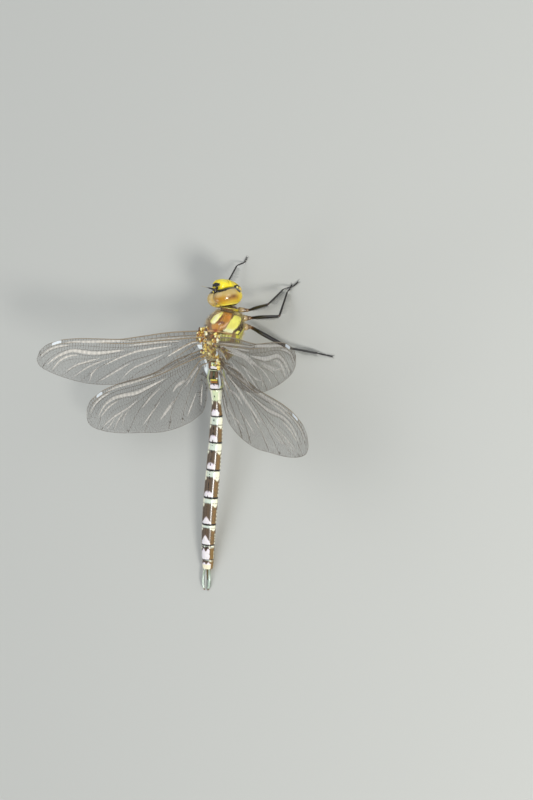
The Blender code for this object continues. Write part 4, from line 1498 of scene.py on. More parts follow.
# %% [markdown]
# ## The wings
# A wing is a clear skin stretched over a net of veins. Long veins run from the root to
# the tip, some on ridges and some in valleys, so that the wing is pleated like a fan
# and stiff along its length. Cross veins part the strips between them into hundreds of
# cells. The net could be drawn vein by vein, but cells are easier: a seed is set in the
# middle of each cell, the cells grow until they meet, and the corners on a long vein
# are pulled onto its curve. The same cells then make both the net, with a Wireframe
# modifier, and the clear skin, with a Solidify modifier.

# %% Outlines and poses of the wings
# root from the thorax centre, then backward sweep, elevation and nose-up pitch in degrees
WING_LENGTH = {"fore": 46.5, "hind": 44.9}
WING_POSE = {
    "forewing_L": (
        (3.8, -1.5, 4.05), (11.8, 13.9, 0.05),
    ), "forewing_R": ((3.3, -2.3, 4.7), (-0.9, 23.2, 1.5)),
    "hindwing_L": (
        (3.55, -5.5, 2.95), (22.9, -2.9, 14.2),
    ), "hindwing_R": ((3.5, -6.9, 3.55), (15.0, 14.3, 21.1)),
}
# thousandths of the wing's length: out along the span, back along the chord
FRONT_EDGE = {
    "fore": ((0, -8), (200, -9), (360, 2), (490, 9), (620, 0), (750, -8), (900, 4),
             (965, 30), (990, 57), (1000, 86)),
    "hind": ((0, 0), (200, -4), (410, 14), (550, 4), (700, -7), (880, 6), (955, 36),
             (988, 75), (1000, 112)),
}
BACK_EDGE = {
    "fore": ((0, 50), (30, 85), (130, 145), (280, 203), (450, 240), (640, 236), (800, 200),
             (920, 157), (965, 135), (988, 115), (1000, 92)),
    "hind": ((0, 50), (30, 165), (100, 287), (180, 322), (300, 336), (450, 327), (620, 287),
             (780, 245), (910, 195), (960, 167), (987, 142), (1000, 117)),
}
SPAN = np.concatenate([np.linspace(0, 0.95, 400), np.linspace(0.9505, 1.0, 120)])


def shares(knots):
    """Knots of thousandths as shares of the wing's length."""
    return tuple((span / 1000, chord / 1000) for span, chord in knots)


EDGES = {
    pair: tuple(smooth_between(SPAN, shares(edge[pair])) for edge in (FRONT_EDGE, BACK_EDGE))
    for pair in WING_LENGTH
}


def edge_at(pair, which, span):
    """The front (0) or back (1) edge of a wing at a share of its span."""
    return np.interp(span, SPAN, EDGES[pair][which])


def both_edges(pair, span):
    """The front and the back edge at one span."""
    return float(edge_at(pair, 0, span)), float(edge_at(pair, 1, span))


def wing_turn(name):
    """A wing's place: its root on the thorax, swept, lifted and pitched."""
    root, (sweep, lift, pitch) = WING_POSE[name]
    side = SIDES[name[-1]]
    spot = THORAX_PLACE @ Vector((side * root[0], root[1], root[2]))
    turn = (
        Matrix.Rotation(
            math.radians(-side * sweep), 4, "Z",
        ) @ Matrix.Rotation(math.radians(-side * lift), 4, "Y")
        @ Matrix.Rotation(math.radians(pitch), 4, "X")
    )
    return Matrix.Translation(spot) @ turn


print("wing lengths in mm:", WING_LENGTH)

# %% [markdown]
# The long veins are listed from front to back, each as knots of span and chord, with
# its thickness and whether it rides on a ridge or lies in a valley. Dragonfly wings are
# all built to one plan, and a hawker's is known from the notch in the middle of the
# front edge, the long pale cell near the tip, and the veins that fan out behind it.

# %% Long veins
# thickness in millimetres at the root, height of its pleat, knots of (span, chord) in thousandths
VEINS = {
    "fore": {
        "subcosta": (0.10, -0.30, ((0, 12), (240, 12), (400, 18), (473, 12))),
        "radius": (
            0.14, 0.22,
            ((0, 28), (240, 31), (460, 34), (600, 22), (800, 13), (900, 22), (955, 45), (985, 75)),
        ),
        "radial_1": (
            0.09, -0.22,
            ((130, 45), (300, 50), (470, 54), (600, 44), (750, 30), (850, 34), (930, 56), (975, 88)),
        ),
        "radial_2": (
            0.08, 0.14,
            ((450, 62), (550, 64), (635, 62), (700, 53), (780, 46), (860, 62), (935, 103), (960, 130)),
        ),
        "between": (
            0.07, -0.14,
            ((420, 78), (550, 84), (635, 90), (700, 83), (780, 68), (860, 92), (920, 133), (940, 150)),
        ),
        "fan_1": (0.055, 0.08, ((600, 104), (700, 103), (770, 100), (850, 122), (900, 165))),
        "fan_2": (0.065, -0.12, ((470, 92), (600, 118), (757, 142), (840, 187))),
        "media": (
            0.08, 0.16, ((130, 58), (300, 68), (380, 79), (450, 98), (564, 136), (650, 178), (720, 220)),
        ),
        "media_back": (
            0.075, -0.16,
            ((130, 68), (200, 85), (300, 105), (420, 130), (520, 175), (600, 215), (640, 236)),
        ),
        "cubitus": (0.08, 0.14, ((30, 45), (100, 72), (190, 115), (300, 162), (380, 200), (430, 238))),
        "anal": (0.07, 0.06, ((20, 60), (80, 92), (160, 135), (230, 180))),
    },
    "hind": {
        "subcosta": (0.10, -0.30, ((0, 12), (200, 14), (320, 24), (395, 16))),
        "radius": (
            0.14, 0.22,
            (
                (0, 28), (200, 30), (400, 34), (500, 26), (600, 17), (750, 10), (820, 16), (880, 25),
                (940, 50), (980, 86),
            ),
        ),
        "radial_1": (
            0.09, -0.22,
            (
                (120, 45), (300, 50), (420, 52), (500, 46), (600, 36), (750, 27), (830, 36), (910, 62),
                (965, 105),
            ),
        ),
        "radial_2": (
            0.08, 0.14, ((400, 61), (500, 62), (650, 52), (750, 44), (830, 57), (900, 90), (940, 128)),
        ),
        "between": (
            0.07, -0.14, ((360, 74), (480, 86), (580, 90), (700, 74), (800, 85), (880, 122), (925, 165)),
        ),
        "fan_1": (0.055, 0.08, ((550, 106), (650, 115), (750, 116), (830, 142), (900, 190))),
        "fan_2": (0.065, -0.12, ((420, 93), (580, 130), (700, 162), (800, 205), (840, 222))),
        "media": (
            0.08, 0.16, ((120, 56), (280, 70), (400, 96), (500, 136), (600, 186), (680, 240), (710, 262)),
        ),
        "media_back": (
            0.075, -0.16,
            ((120, 68), (200, 90), (300, 115), (400, 155), (480, 205), (550, 260), (590, 295)),
        ),
        "cubitus": (0.08, 0.14, ((30, 50), (100, 85), (180, 130), (260, 180), (330, 240), (400, 330))),
        "anal": (0.07, 0.10, ((25, 75), (100, 130), (180, 200), (250, 270), (300, 334))),
        "anal_back": (0.065, -0.08, ((20, 90), (60, 150), (100, 210), (140, 300))),
    },
}
NODUS = {"fore": 0.473, "hind": 0.395}
STIGMA = {"fore": (0.851, 0.908), "hind": (0.823, 0.873)}
VEINS = {
    pair: {name: (thick, height, shares(knots)) for name, (thick, height, knots) in veins.items()}
    for pair, veins in VEINS.items()
}
VEIN_CHORDS = {
    pair: {name: smooth_between(SPAN, knots) for name, (_, _, knots) in veins.items()}
    for pair, veins in VEINS.items()
}


def vein_at(pair, name, span):
    """Where a vein crosses the chord at a span, or nothing outside its reach."""
    knots = VEINS[pair][name][2]
    if span < knots[0][0] or span > knots[-1][0]:
        return None
    return float(np.interp(span, SPAN, VEIN_CHORDS[pair][name]))


print("long veins:", {pair: len(veins) for pair, veins in VEINS.items()})

# %% Height of the pleated wing
PLATE_CHORDS = (0.0, 0.07, 0.16, 0.3, 0.55, 0.8, 1.0)


def pleat(pair, span, chord):
    """Height of the wing's skin in millimetres for arrays of span and chord."""
    span, chord = np.atleast_1d(span).astype(float), np.atleast_1d(chord).astype(float)
    ahead, behind = edge_at(pair, 0, span), edge_at(pair, 1, span)
    share = np.clip((chord - ahead) / np.maximum(behind - ahead, 1e-4), 0, 1)
    plate = [(-0.3 if c == 0.07 else 0.0) + 0.5 * math.sin(math.pi * c) for c in PLATE_CHORDS]
    rise = (1 - span) * np.interp(share, PLATE_CHORDS, plate)
    for name, (_, height, knots) in VEINS[pair].items():
        at = np.interp(span, SPAN, VEIN_CHORDS[pair][name])
        reach = ease((span - knots[0][0] + 0.05) / 0.05) * ease((knots[-1][0] + 0.03 - span) / 0.05)
        rise += height * (1.15 - span) * hill(chord, at, 0.009) * reach
    return rise + 0.10 * ease((span - 0.55) / 0.4) * np.sin(share * 9.0 + span * 4.0) * share


def wing_points(pair, side, spots, lift=0.0):
    """Points in the wing's own frame from (span, chord) rows."""
    spots = np.asarray(spots, dtype=float)
    length = WING_LENGTH[pair]
    rise = pleat(pair, spots[:, 0], spots[:, 1]) + lift
    return np.stack([side * spots[:, 0] * length, -spots[:, 1] * length, rise], axis=1)


print("pleats reach", round(float(pleat("fore", 0.2, 0.031)[0]), 2), "mm at the radius")

# %% Seeds of the cells
def strips_at(pair, span):
    """The borders that cross the chord at a span, front to back: (chord, name)."""
    borders = list(zip(both_edges(pair, span), ("front", "back")))
    for name in VEINS[pair]:
        chord = vein_at(pair, name, span)
        if chord is not None and borders[0][0] + 0.004 < chord < borders[1][0] - 0.004:
            borders.append((chord, name))
    return sorted(borders)


CELL = {"fore": 0.0195, "hind": 0.021}


def cell_seeds(pair):
    """Seeds strip by strip: each strip holds as many rows as its width takes, staggered."""
    draw = random.Random("cells " + pair)
    seeds, clocks = [], {}
    for span in np.arange(0.004, 1.0, 0.002):
        borders = strips_at(pair, span)
        for (near, upper), (far, lower) in zip(borders, borders[1:]):
            width = far - near
            outer = ease(np.array([(near - 0.10) / 0.1]))[0]
            size = CELL[pair] * (1.0 - 0.22 * outer) * (0.95 if span > 0.3 else 1.05)
            rows = max(1, int(round(width / size)))
            for row in range(rows):
                key = (upper, lower, row)
                step = min(size * (1.0 if rows > 1 else 0.9), 0.03) * (
                    1.45 if upper == "front" and span < 0.5 else 1.0
                )
                due = clocks.get(key, span + (0.5 * step if row % 2 else 0.0) + draw.random() * 0.3 * step)
                if span >= due:
                    chord = near + width * (row + 0.5) / rows
                    shake = 0.10 if rows == 1 else 0.16
                    further = span + draw.uniform(-shake, shake) * step
                    seeds.append((further, chord + draw.uniform(-shake, shake) * width / rows * (rows > 1)))
                    due = due + step
                clocks[key] = due
    return seeds


def side_of(pair, name, span, chord):
    """Which side of a vein a place is on, or nothing where the vein isn't."""
    at = vein_at(pair, name, span)
    return None if at is None else (1 if chord > at else -1)


print("cells are about", CELL, "of the wing's length")

# %% Grow the cells
def outline(pair):
    """The wing's edge near its tip, as (span, chord) rows, front to back."""
    near_tip = SPAN[SPAN > 0.9]
    front = np.stack([near_tip, edge_at(pair, 0, near_tip)], axis=1)
    back = np.stack([near_tip, edge_at(pair, 1, near_tip)], axis=1)[::-1]
    return np.concatenate([front, back])


OUTLINE = {pair: outline(pair) for pair in WING_LENGTH}


def ghost_seeds(pair, seeds):
    """Mirror images of the outer seeds over the wing's edge, which stop the cells there."""
    ghosts = []
    for span, chord in seeds:
        ahead, behind = both_edges(pair, span)
        if chord - ahead < 0.05:
            ghosts.append((span, 2 * ahead - chord - 1e-4))
        if behind - chord < 0.05:
            ghosts.append((span, 2 * behind - chord + 1e-4))
        if span > 0.95:
            ghosts.append((2 - span + 1e-4, chord))
        if span < 0.04:
            ghosts.append((-span - 1e-4, chord))
    return ghosts


def round_centre(a, b, c):
    """The point as far from three seeds."""
    middle = ((a[0] + b[0] + c[0]) / 3, (a[1] + b[1] + c[1]) / 3)
    d = 2 * (a[0] * (b[1] - c[1]) + b[0] * (c[1] - a[1]) + c[0] * (a[1] - b[1]))
    if abs(d) < 1e-12:
        return middle
    aa, bb, cc = (p[0] ** 2 + p[1] ** 2 for p in (a, b, c))
    x = (aa * (b[1] - c[1]) + bb * (c[1] - a[1]) + cc * (a[1] - b[1])) / d
    y = (aa * (c[0] - b[0]) + bb * (a[0] - c[0]) + cc * (b[0] - a[0])) / d
    reach = math.hypot(x - middle[0], y - middle[1])
    limit = 0.018
    if reach > limit:
        x, y = middle[0] + (x - middle[0]) * limit / reach, middle[1] + (y - middle[1]) * limit / reach
    return (x, y)


def on_vein(pair, corner, seeds3):
    """The vein that runs between the seeds around a corner, if one does: (name, chord there)."""
    best = None
    for name in VEINS[pair]:
        at = vein_at(pair, name, corner[0])
        if at is None:
            continue
        sides = {side_of(pair, name, min(max(s[0], 0.0), 1.0), s[1]) for s in seeds3} - {None}
        if len(sides) == 2 and (best is None or abs(at - corner[1]) < abs(best[1] - corner[1])):
            best = (name, at)
    return best


def grow_cells(pair):
    """Corners (span, chord), how stout the net is at each, and the cells as corner numbers."""
    seeds = cell_seeds(pair)
    whole = seeds + ghost_seeds(pair, seeds)
    spots = [Vector(spot) for spot in whole]
    found = delaunay_2d_cdt(spots, [], [], 0, 1e-7)
    triangles, origin = found[2], found[3]
    to_seed = [group[0] if group else -1 for group in origin]
    corners, stout, around = [], [], {}
    for triangle in triangles:
        ids = [to_seed[k] for k in triangle]
        if all(k >= len(seeds) for k in ids):
            continue
        three = [whole[k] for k in ids]
        span, chord = round_centre(*three)
        span = min(max(span, 0.0), 1.0)
        weight = 0.0
        edge = any(k >= len(seeds) for k in ids)
        vein = on_vein(pair, (span, chord), three)
        if vein and abs(vein[1] - chord) < 0.02:
            chord = vein[1]
            weight = VEINS[pair][vein[0]][0] / 0.14 * (1.0 - 0.45 * span)
        ahead, behind = both_edges(pair, span)
        if edge:
            front = abs(chord - ahead) < abs(chord - behind)
            if 0.012 < span < 0.985:
                chord = ahead if front else behind
            weight = max(weight, (1.0 - 0.35 * span) if front and span < 0.93 else 0.35)
            if span > 0.95:
                rim = OUTLINE[pair]
                span, chord = rim[np.argmin(np.hypot(rim[:, 0] - span, rim[:, 1] - chord))]
                ahead, behind = min(ahead, chord), max(behind, chord)
        chord = min(max(chord, ahead), behind)
        for k in ids:
            if k < len(seeds):
                around.setdefault(k, []).append(len(corners))
        corners.append((span, chord))
        stout.append(weight)
    cells = []
    for k, ring in around.items():
        if len(ring) < 3:
            continue
        seed = seeds[k]
        ring.sort(key=lambda c: math.atan2(corners[c][1] - seed[1], corners[c][0] - seed[0]))
        cells.append(ring)
    return corners, stout, cells


CELLS = {pair: grow_cells(pair) for pair in VEINS}
print("cells:", {pair: len(made[2]) for pair, made in CELLS.items()})

# %% The net and the clear skin of one wing
def cell_sheet(name, pair, side):
    """The wing's cells as one thin mesh, with a weight at each corner for stout veins."""
    corners, stout, cells = CELLS[pair]
    piece = new_piece(name, wing_points(pair, side, corners), cells)
    group = piece.vertex_groups.new(name="stout")
    for number, weight in enumerate(stout):
        group.add([number], min(max(weight, 0.0), 1.0), "REPLACE")
    bpy.ops.object.mode_set(mode="EDIT")
    bpy.ops.mesh.select_all(action="SELECT")
    bpy.ops.mesh.remove_doubles(threshold=0.10)
    bpy.ops.mesh.dissolve_degenerate(threshold=0.03)
    bpy.ops.object.mode_set(mode="OBJECT")
    face_out(piece)
    if np.mean([polygon.normal.z for polygon in piece.data.polygons]) < 0:
        piece.data.flip_normals()
    return piece


def apply_all(piece):
    """Applies every modifier of a piece."""
    pick_up(piece)
    for step in list(piece.modifiers):
        bpy.ops.object.modifier_apply(modifier=step.name)
    return piece


def make_net(wing, pair, side):
    """Veins with the stoutness of their corners."""
    net = cell_sheet(f"{wing}_veins", pair, side)
    step = net.modifiers.new("net", "WIREFRAME")
    step.thickness = 0.165
    step.use_even_offset = False
    step.use_boundary = True
    step.use_replace = True
    step.vertex_group = "stout"
    step.thickness_vertex_group = 0.21
    apply_all(net)
    bpy.ops.object.shade_smooth_by_angle(angle=math.radians(60))
    return net


def make_skin(wing, pair, side):
    """The clear skin between the veins."""
    skin = cell_sheet(f"{wing}_skin", pair, side)
    step = skin.modifiers.new("skin", "SOLIDIFY")
    step.thickness = 0.03
    step.offset = 0.0
    apply_all(skin)
    bpy.ops.object.shade_smooth()
    return skin


print("net and skin builders are ready")

# %% [markdown]
# A fresh wing isn't flat between its veins. Its skin still sags a little from strip to
# strip, and where it turns to the light it shines as long silvery streaks, beaded by
# the cross veins. This shine is painted: the streaks are thin pale strips on the skin,
# a painted reflection, that narrow to points at both ends and carry fine darker ribs.
# Each is written as span and chord, with its width.

# %% Streaks
# width in millimetres, then knots of (span, chord) in thousandths
STREAKS = {
    "fore": (
        (0.55, ((26, 20), (240, 21), (459, 24))), (0.75, ((434, 20), (664, 13), (790, 8), (825, 10))),
        (0.95, ((455, 68), (550, 74), (635, 75), (700, 66), (781, 55), (860, 77), (935, 120))),
        (0.5, ((800, 24), (880, 30), (930, 44), (976, 75))), (
            0.6, ((740, 79), (800, 83), (853, 105), (901, 150)),
        ),
        (0.5, ((600, 104), (680, 118), (757, 136), (810, 162))), (
            0.6, ((160, 60), (305, 72), (377, 80), (450, 98), (564, 140)),
        ),
        (0.45, ((600, 146), (648, 186), (660, 220))), (0.5, ((410, 137), (518, 186), (600, 224))),
        (0.65, ((12, 50), (60, 60), (101, 74), (188, 117))), (0.4, ((100, 40), (250, 41), (430, 46))),
        (
            0.45, ((200, 100), (300, 135), (400, 170), (460, 215)),
        ), (0.4, ((500, 100), (620, 128), (720, 170), (770, 200))),
    ),
    "hind": (
        (0.5, ((74, 22), (250, 26), (385, 28))), (0.7, ((400, 26), (550, 17), (720, 6), (790, 8))),
        (0.9, ((310, 64), (400, 71), (476, 75), (561, 77), (660, 64), (750, 57), (820, 70), (900, 115))),
        (0.55, ((720, 79), (800, 90), (887, 125))), (
            0.6, ((570, 118), (640, 134), (714, 144), (800, 156), (895, 180)),
        ),
        (0.35, ((640, 140), (700, 172), (740, 215))), (0.35, ((700, 150), (760, 180), (810, 218))),
        (0.35, ((780, 160), (830, 185), (870, 200))), (0.55, ((370, 102), (460, 130), (552, 168))),
        (0.9, ((150, 115), (200, 120), (250, 128), (290, 150))), (0.6, ((16, 60), (100, 100), (196, 155))),
        (0.9, ((270, 185), (350, 220), (440, 262))), (0.5, ((400, 170), (500, 215), (582, 255))),
        (0.5, ((760, 20), (850, 30), (920, 55), (960, 85))), (0.45, ((120, 200), (180, 250), (240, 300))),
        (0.45, ((60, 170), (90, 220), (120, 275))),
    ),
}
# the right wings turn more of their skin to the light
RIGHT_STREAKS = {
    "fore": (
        (1.1, ((75, 35), (279, 57), (423, 81), (568, 117))),
        (0.9, ((4, 50), (60, 70), (111, 94))),
        (0.6, ((349, 118), (448, 143), (546, 172), (658, 183))),
        (0.7, ((592, 95), (692, 107), (771, 120), (861, 112))),
        (0.6, ((157, 122), (313, 141), (414, 170), (495, 208))),
    ),
    "hind": (
        (1.25, ((50, 30), (136, 58), (230, 86), (323, 118), (414, 146), (495, 172))),
        (0.7, ((250, 40), (415, 38), (550, 31), (692, 30), (823, 36))),
        (0.45, ((550, 142), (619, 158), (679, 186), (800, 181))),
        (0.9, ((98, 219), (172, 245), (234, 255), (317, 276))),
        (0.9, ((21, 32), (67, 83), (112, 133))),
    ),
}


def streak_strip(pair, side, width, knots, lift):
    """Points and faces of one streak with pointed ends, waisted where cross veins pass."""
    spans = np.array([k[0] for k in knots])
    lengths = np.concatenate([[0], np.cumsum(np.hypot(np.diff(spans), np.diff([k[1] for k in knots])))])
    count = max(10, int(lengths[-1] * WING_LENGTH[pair] / 0.2))
    along = np.linspace(0, lengths[-1], count)
    centre_span = smooth_between(along, list(zip(lengths, spans)))
    centre_chord = smooth_between(along, list(zip(lengths, [k[1] for k in knots])))
    way = np.stack([np.gradient(centre_span), np.gradient(centre_chord)], axis=1)
    way /= np.linalg.norm(way, axis=1)[:, None]
    share = along / lengths[-1]
    beads = 0.80 + 0.20 * np.abs(np.sin(along * WING_LENGTH[pair] * math.pi / 0.95))
    half = width / WING_LENGTH[pair] / 2 * np.sin(math.pi * np.clip(share, 0.015, 0.985)) ** 0.55 * beads
    rows = []
    for across in (-1.0, -0.34, 0.34, 1.0):
        spot = np.stack(
            [centre_span - way[:, 1] * half * across, centre_chord + way[:, 0] * half * across], axis=1,
        )
        spot[:, 0] = np.clip(spot[:, 0], 0.004, 0.996)
        ahead, behind = edge_at(pair, 0, spot[:, 0]) + 0.003, edge_at(pair, 1, spot[:, 0]) - 0.003
        spot[:, 1] = np.clip(spot[:, 1], ahead, behind)
        rows.append(wing_points(pair, side, spot, lift))
    return np.stack(rows, axis=1).reshape(-1, 3), count


def make_streaks(wing, pair, side, bright):
    """The bright leading streaks of a wing, or the faint ones behind them, as thin closed strips: a painted
    reflection of light on the creased skin.
    """
    points, faces = [], []
    rows = STREAKS[pair] + (RIGHT_STREAKS[pair] if side > 0 else ())
    for width, knots in rows:
        knots = shares(knots)
        chord = np.mean([chord for _, chord in knots])
        if (chord < 0.105) != bright:
            continue
        places, count = streak_strip(pair, side, width, knots, 0.13 if chord < 0.03 else 0.035)
        base = sum(len(block) for block in points)
        points.append(places)
        for row in range(count - 1):
            for k in range(3):
                a = base + row * 4 + k
                faces.append((a, a + 4, a + 5, a + 1) if side > 0 else (a, a + 1, a + 5, a + 4))
    name = f"{wing}_streaks" if bright else f"{wing}_faint_streaks"
    piece = new_piece(name, np.concatenate(points), faces)
    rows = np.arange(len(piece.data.vertices)) // 4
    ribs = np.where(rows % 2 == 0, 1.0, 0.66) * (1 + 0.12 * np.sin(rows * 0.9))
    # the strips' pale colour with darker ribs is a painted reflection of light on the creased skin
    paint(piece, np.array((0.88, 0.84, 0.76)) * ribs[:, None])
    step = piece.modifiers.new("body", "SOLIDIFY")
    step.thickness = 0.02
    step.offset = 1.0
    apply_all(piece)
    bpy.ops.object.shade_smooth()
    return piece


print("streaks:", {pair: len(rows) for pair, rows in STREAKS.items()})

# %% The marks of the front edge
def pad(pair, side, start, end, near, far, thick):
    """A small raised pad on the wing between two spans and two chord offsets from the front edge."""
    columns = 14
    spans = np.linspace(start, end, columns)
    points, faces = [], []
    front, middle = edge_at(pair, 0, spans), (near + far) / 2
    narrow = 1.0 - 0.25 * (np.abs(np.linspace(-1, 1, columns)) ** 6)
    crest = wing_points(pair, side, np.stack([spans, front + middle], axis=1))[:, 2]
    for level in (thick, -thick):
        for edge in (near, far):
            chord = front + middle + (edge - middle) * narrow
            rise = wing_points(pair, side, np.stack([spans, chord], axis=1))
            rise[:, 2] = crest + level
            points += list(rise)
    for k in range(columns - 1):
        for a, b in ((0, 1), (1, 3), (3, 2), (2, 0)):
            faces.append((a * columns + k, a * columns + k + 1, b * columns + k + 1, b * columns + k))
    faces += [(0, columns, 3 * columns, 2 * columns)]
    last = columns - 1
    faces += [(last, 2 * columns + last, 3 * columns + last, columns + last)]
    return points, faces


def make_stigma(wing, pair, side):
    """The long pale cell near the tip."""
    piece = face_out(new_piece(f"{wing}_stigma", *pad(pair, side, *STIGMA[pair], 0.001, 0.0165, 0.09)))
    bpy.ops.object.mode_set(mode="EDIT")
    bpy.ops.mesh.select_all(action="SELECT")
    bpy.ops.mesh.bevel(offset=0.03, segments=2, affect="EDGES")
    bpy.ops.object.mode_set(mode="OBJECT")
    bpy.ops.object.shade_smooth_by_angle(angle=math.radians(40))
    return piece


def stout_vein(spots, radii):
    """A tapering vein along places in the wing's own frame."""
    return limb("stout_vein", [(Vector(spot), radius) for spot, radius in zip(spots, radii)], sides=10)[0]


def make_stout_veins(wing, pair, side):
    """The edge, radius and root veins, the notch and the two thick cross veins, as real rods."""
    rods = []
    for knots, start, end, first, last in (
        ("front", -0.04, 0.93, 0.20, 0.07), ("radius", -0.04, 0.93, 0.21, 0.06), (
            "subcosta", -0.03, NODUS[pair], 0.13, 0.06,
        ),
        ("cubitus", -0.03, 0.16, 0.20, 0.07), ("anal", -0.03, 0.14, 0.15, 0.06),
    ):
        spans = np.linspace(start, end, 22 if end > 0.4 else 9)
        inside = np.clip(spans, 0.0, 1.0)
        if knots == "front":
            chords = edge_at(pair, 0, inside)
        else:
            chords = np.interp(inside, SPAN, VEIN_CHORDS[pair][knots])
        places = wing_points(pair, side, np.stack([inside, chords], axis=1))
        places[:, 0] += side * (spans - inside) * WING_LENGTH[pair]
        share = np.linspace(0, 1, len(spans)) ** 0.6
        rods.append(stout_vein(places, first + (last - first) * share))
    for span in (NODUS[pair], 0.10, 0.20):
        ahead = float(edge_at(pair, 0, span))
        back = float(np.interp(span, SPAN, VEIN_CHORDS[pair]["radius"]))
        spots = np.array([(span - 0.004 * k, ahead + (back - ahead) * k / 3) for k in range(4)])
        rods.append(stout_vein(wing_points(pair, side, spots), [0.1, 0.09, 0.08, 0.09]))
    return join(f"{wing}_stout_veins", rods)


print("edge marks are ready")

# %% Finishes of the wings
def clear_finish(name, colour, alpha, rough, coat, cloud):
    """A see-through skin: a plain share of it shows, faintly clouded, with a wet gloss."""
    made = shell_finish(
        name, rough=rough, cloud=cloud, grain=0.06, grain_size=0.5, coat=coat, colour=colour,
    )
    made.node_tree.nodes["Principled BSDF"].inputs["Alpha"].default_value = alpha
    return made


vein_wax = shell_finish(
    "vein_wax", rough=(0.3, 0.45), cloud=0.12, grain=0.05, coat=0.3, colour=(0.13, 0.098, 0.065),
)
stout_wax = shell_finish(
    "stout_vein_wax", rough=(0.25, 0.4), cloud=0.12, grain=0.05, coat=0.4, colour=(0.30, 0.235, 0.15),
)
skin_clear = clear_finish("wing_skin_clear", (0.040, 0.036, 0.030), 0.15, (0.12, 0.2), 0.8, 0.10)
# the two finishes of the streaks: a painted reflection, bright and faint
painted_sheen_bright = clear_finish("wing_painted_sheen_bright", None, 0.78, (0.22, 0.35), 0.6, 0.10)
painted_sheen_faint = clear_finish("wing_painted_sheen_faint", None, 0.46, (0.22, 0.35), 0.6, 0.20)
stigma_pale = shell_finish(
    "stigma_pale", rough=(0.25, 0.35), cloud=0.05, grain=0.05, coat=0.5, colour=(0.80, 0.86, 0.90),
)

# %% Make the four wings
for wing in WING_POSE:
    pair, side = wing[:4], SIDES[wing[-1]]
    place = wing_turn(wing)
    for piece, finish in (
        (make_net(wing, pair, side), vein_wax), (make_skin(wing, pair, side), skin_clear),
        (
            make_streaks(wing, pair, side, True), painted_sheen_bright,
        ), (make_streaks(wing, pair, side, False), painted_sheen_faint),
        (make_stigma(wing, pair, side), stigma_pale),
        (make_stout_veins(wing, pair, side), stout_wax),
    ):
        settle(piece, finish, place, [wing])

# %% [markdown]
# ## The wing hinges
# Each wing is worked by a cluster of small hard plates at its root, golden and cream on
# a young hawker, which lie in soft skin. They are what lets the wing turn as it beats.
# One lump is modelled, a small ball with a crease, and copied with its own size, turn
# and colour all over the cluster. Behind each root a little white flap of membrane
# fills the gap beside the body.

# %% The back's height
def back_height(x, y):
    """Height of the thorax's skin over a place beside its middle, in its own frame."""
    table = np.array(THORAX_STATIONS)[::-1]
    top, low, wide = (np.interp(y, table[:, 0], table[:, k]) for k in (1, 2, 3))
    share = min(abs(x) / wide, 0.98)
    return (top + low) / 2 + (top - low) / 2 * math.sqrt(1 - share * share)


print("back height at the middle:", round(back_height(0, -2.0), 2), "mm")

# %% One lump, then clusters
bpy.ops.object.select_all(action="DESELECT")
bpy.ops.mesh.primitive_uv_sphere_add(segments=20, ring_count=14, radius=1.0)
lump_model = bpy.context.active_object
raise_skin(lump_model, -0.22 * hill(points_of(lump_model)[:, 0], 0.25, 0.16))
LUMP_POINTS = points_of(lump_model)
LUMP_FACES = [tuple(polygon.vertices) for polygon in lump_model.data.polygons]
bpy.data.objects.remove(lump_model, do_unlink=True)
LUMP_HUES = (
    "E8C45C", "FAF0B0", "CEA03E", "F4E080", "96602A",
    "FCF8D6", "B08034", "5A3A1C",
)
hinge_wax = shell_finish(
    "hinge_wax", rough=(0.18, 0.32), cloud=0.10, grain=0.08, grain_size=0.1, coat=0.7, glow=0.08,
)


def lumps(name, spots):
    """A cluster of lumps. Each is (place, three half sizes, turn about the upright, tilt, colour)."""
    blocks, faces, coat = [], [], []
    for number, (spot, size, spin, tilt, hue) in enumerate(spots):
        turn = Matrix.Rotation(spin, 3, "Z") @ Matrix.Rotation(tilt, 3, "Y")
        block = (LUMP_POINTS * np.array(size)) @ np.array(turn).T + np.array(spot)
        blocks.append(block)
        base = number * len(LUMP_POINTS)
        faces += [tuple(base + k for k in face) for face in LUMP_FACES]
        # each lump is painted dark brown on its lower side: painted shade where it sits in the skin
        coat.append(lay(hue, (DEEP_BROWN, 0.75 * hill(LUMP_POINTS[:, 2], -0.55, 0.35))))
    piece = new_piece(name, np.concatenate(blocks), faces)
    bpy.ops.object.shade_smooth()
    paint(piece, np.concatenate(coat))
    return piece


# inner end from the thorax centre, half length and half height there: as the solids have them
HINGES = {
    "forewing_L": ((1.5, -2.2, 3.5), 1.45, 0.8), "forewing_R": ((1.2, -2.7, 3.9), 1.35, 0.8),
    "hindwing_L": ((1.7, -5.3, 2.6), 1.25, 0.75), "hindwing_R": ((1.2, -6.2, 2.6), 1.0, 0.7),
}
# rows of plates, how far inward of the root they start, how far forward they are shifted
CLUSTERS = {
    "forewing_L": (
        8, -0.1, 0.25,
    ), "forewing_R": (5, 0.0, 0.0), "hindwing_L": (6, 0.6, 1.0), "hindwing_R": (4, 0.0, 0.0),
}


def hinge_line(wing, reach):
    """Where a hinge's middle is at a reach from the body's middle, with its half length and half height."""
    inner, half_length, half_height = HINGES[wing]
    root, _ = WING_POSE[wing]
    share = (reach - inner[0]) / (root[0] - inner[0])
    middle = [a + (b - a) * share for a, b in zip(inner, (root[0], root[1] - 0.95, root[2] + 0.05))]
    half_length += (1.2 - half_length) * share
    half_height += (0.4 - half_height) * share
    return middle[1], middle[2], half_length, half_height


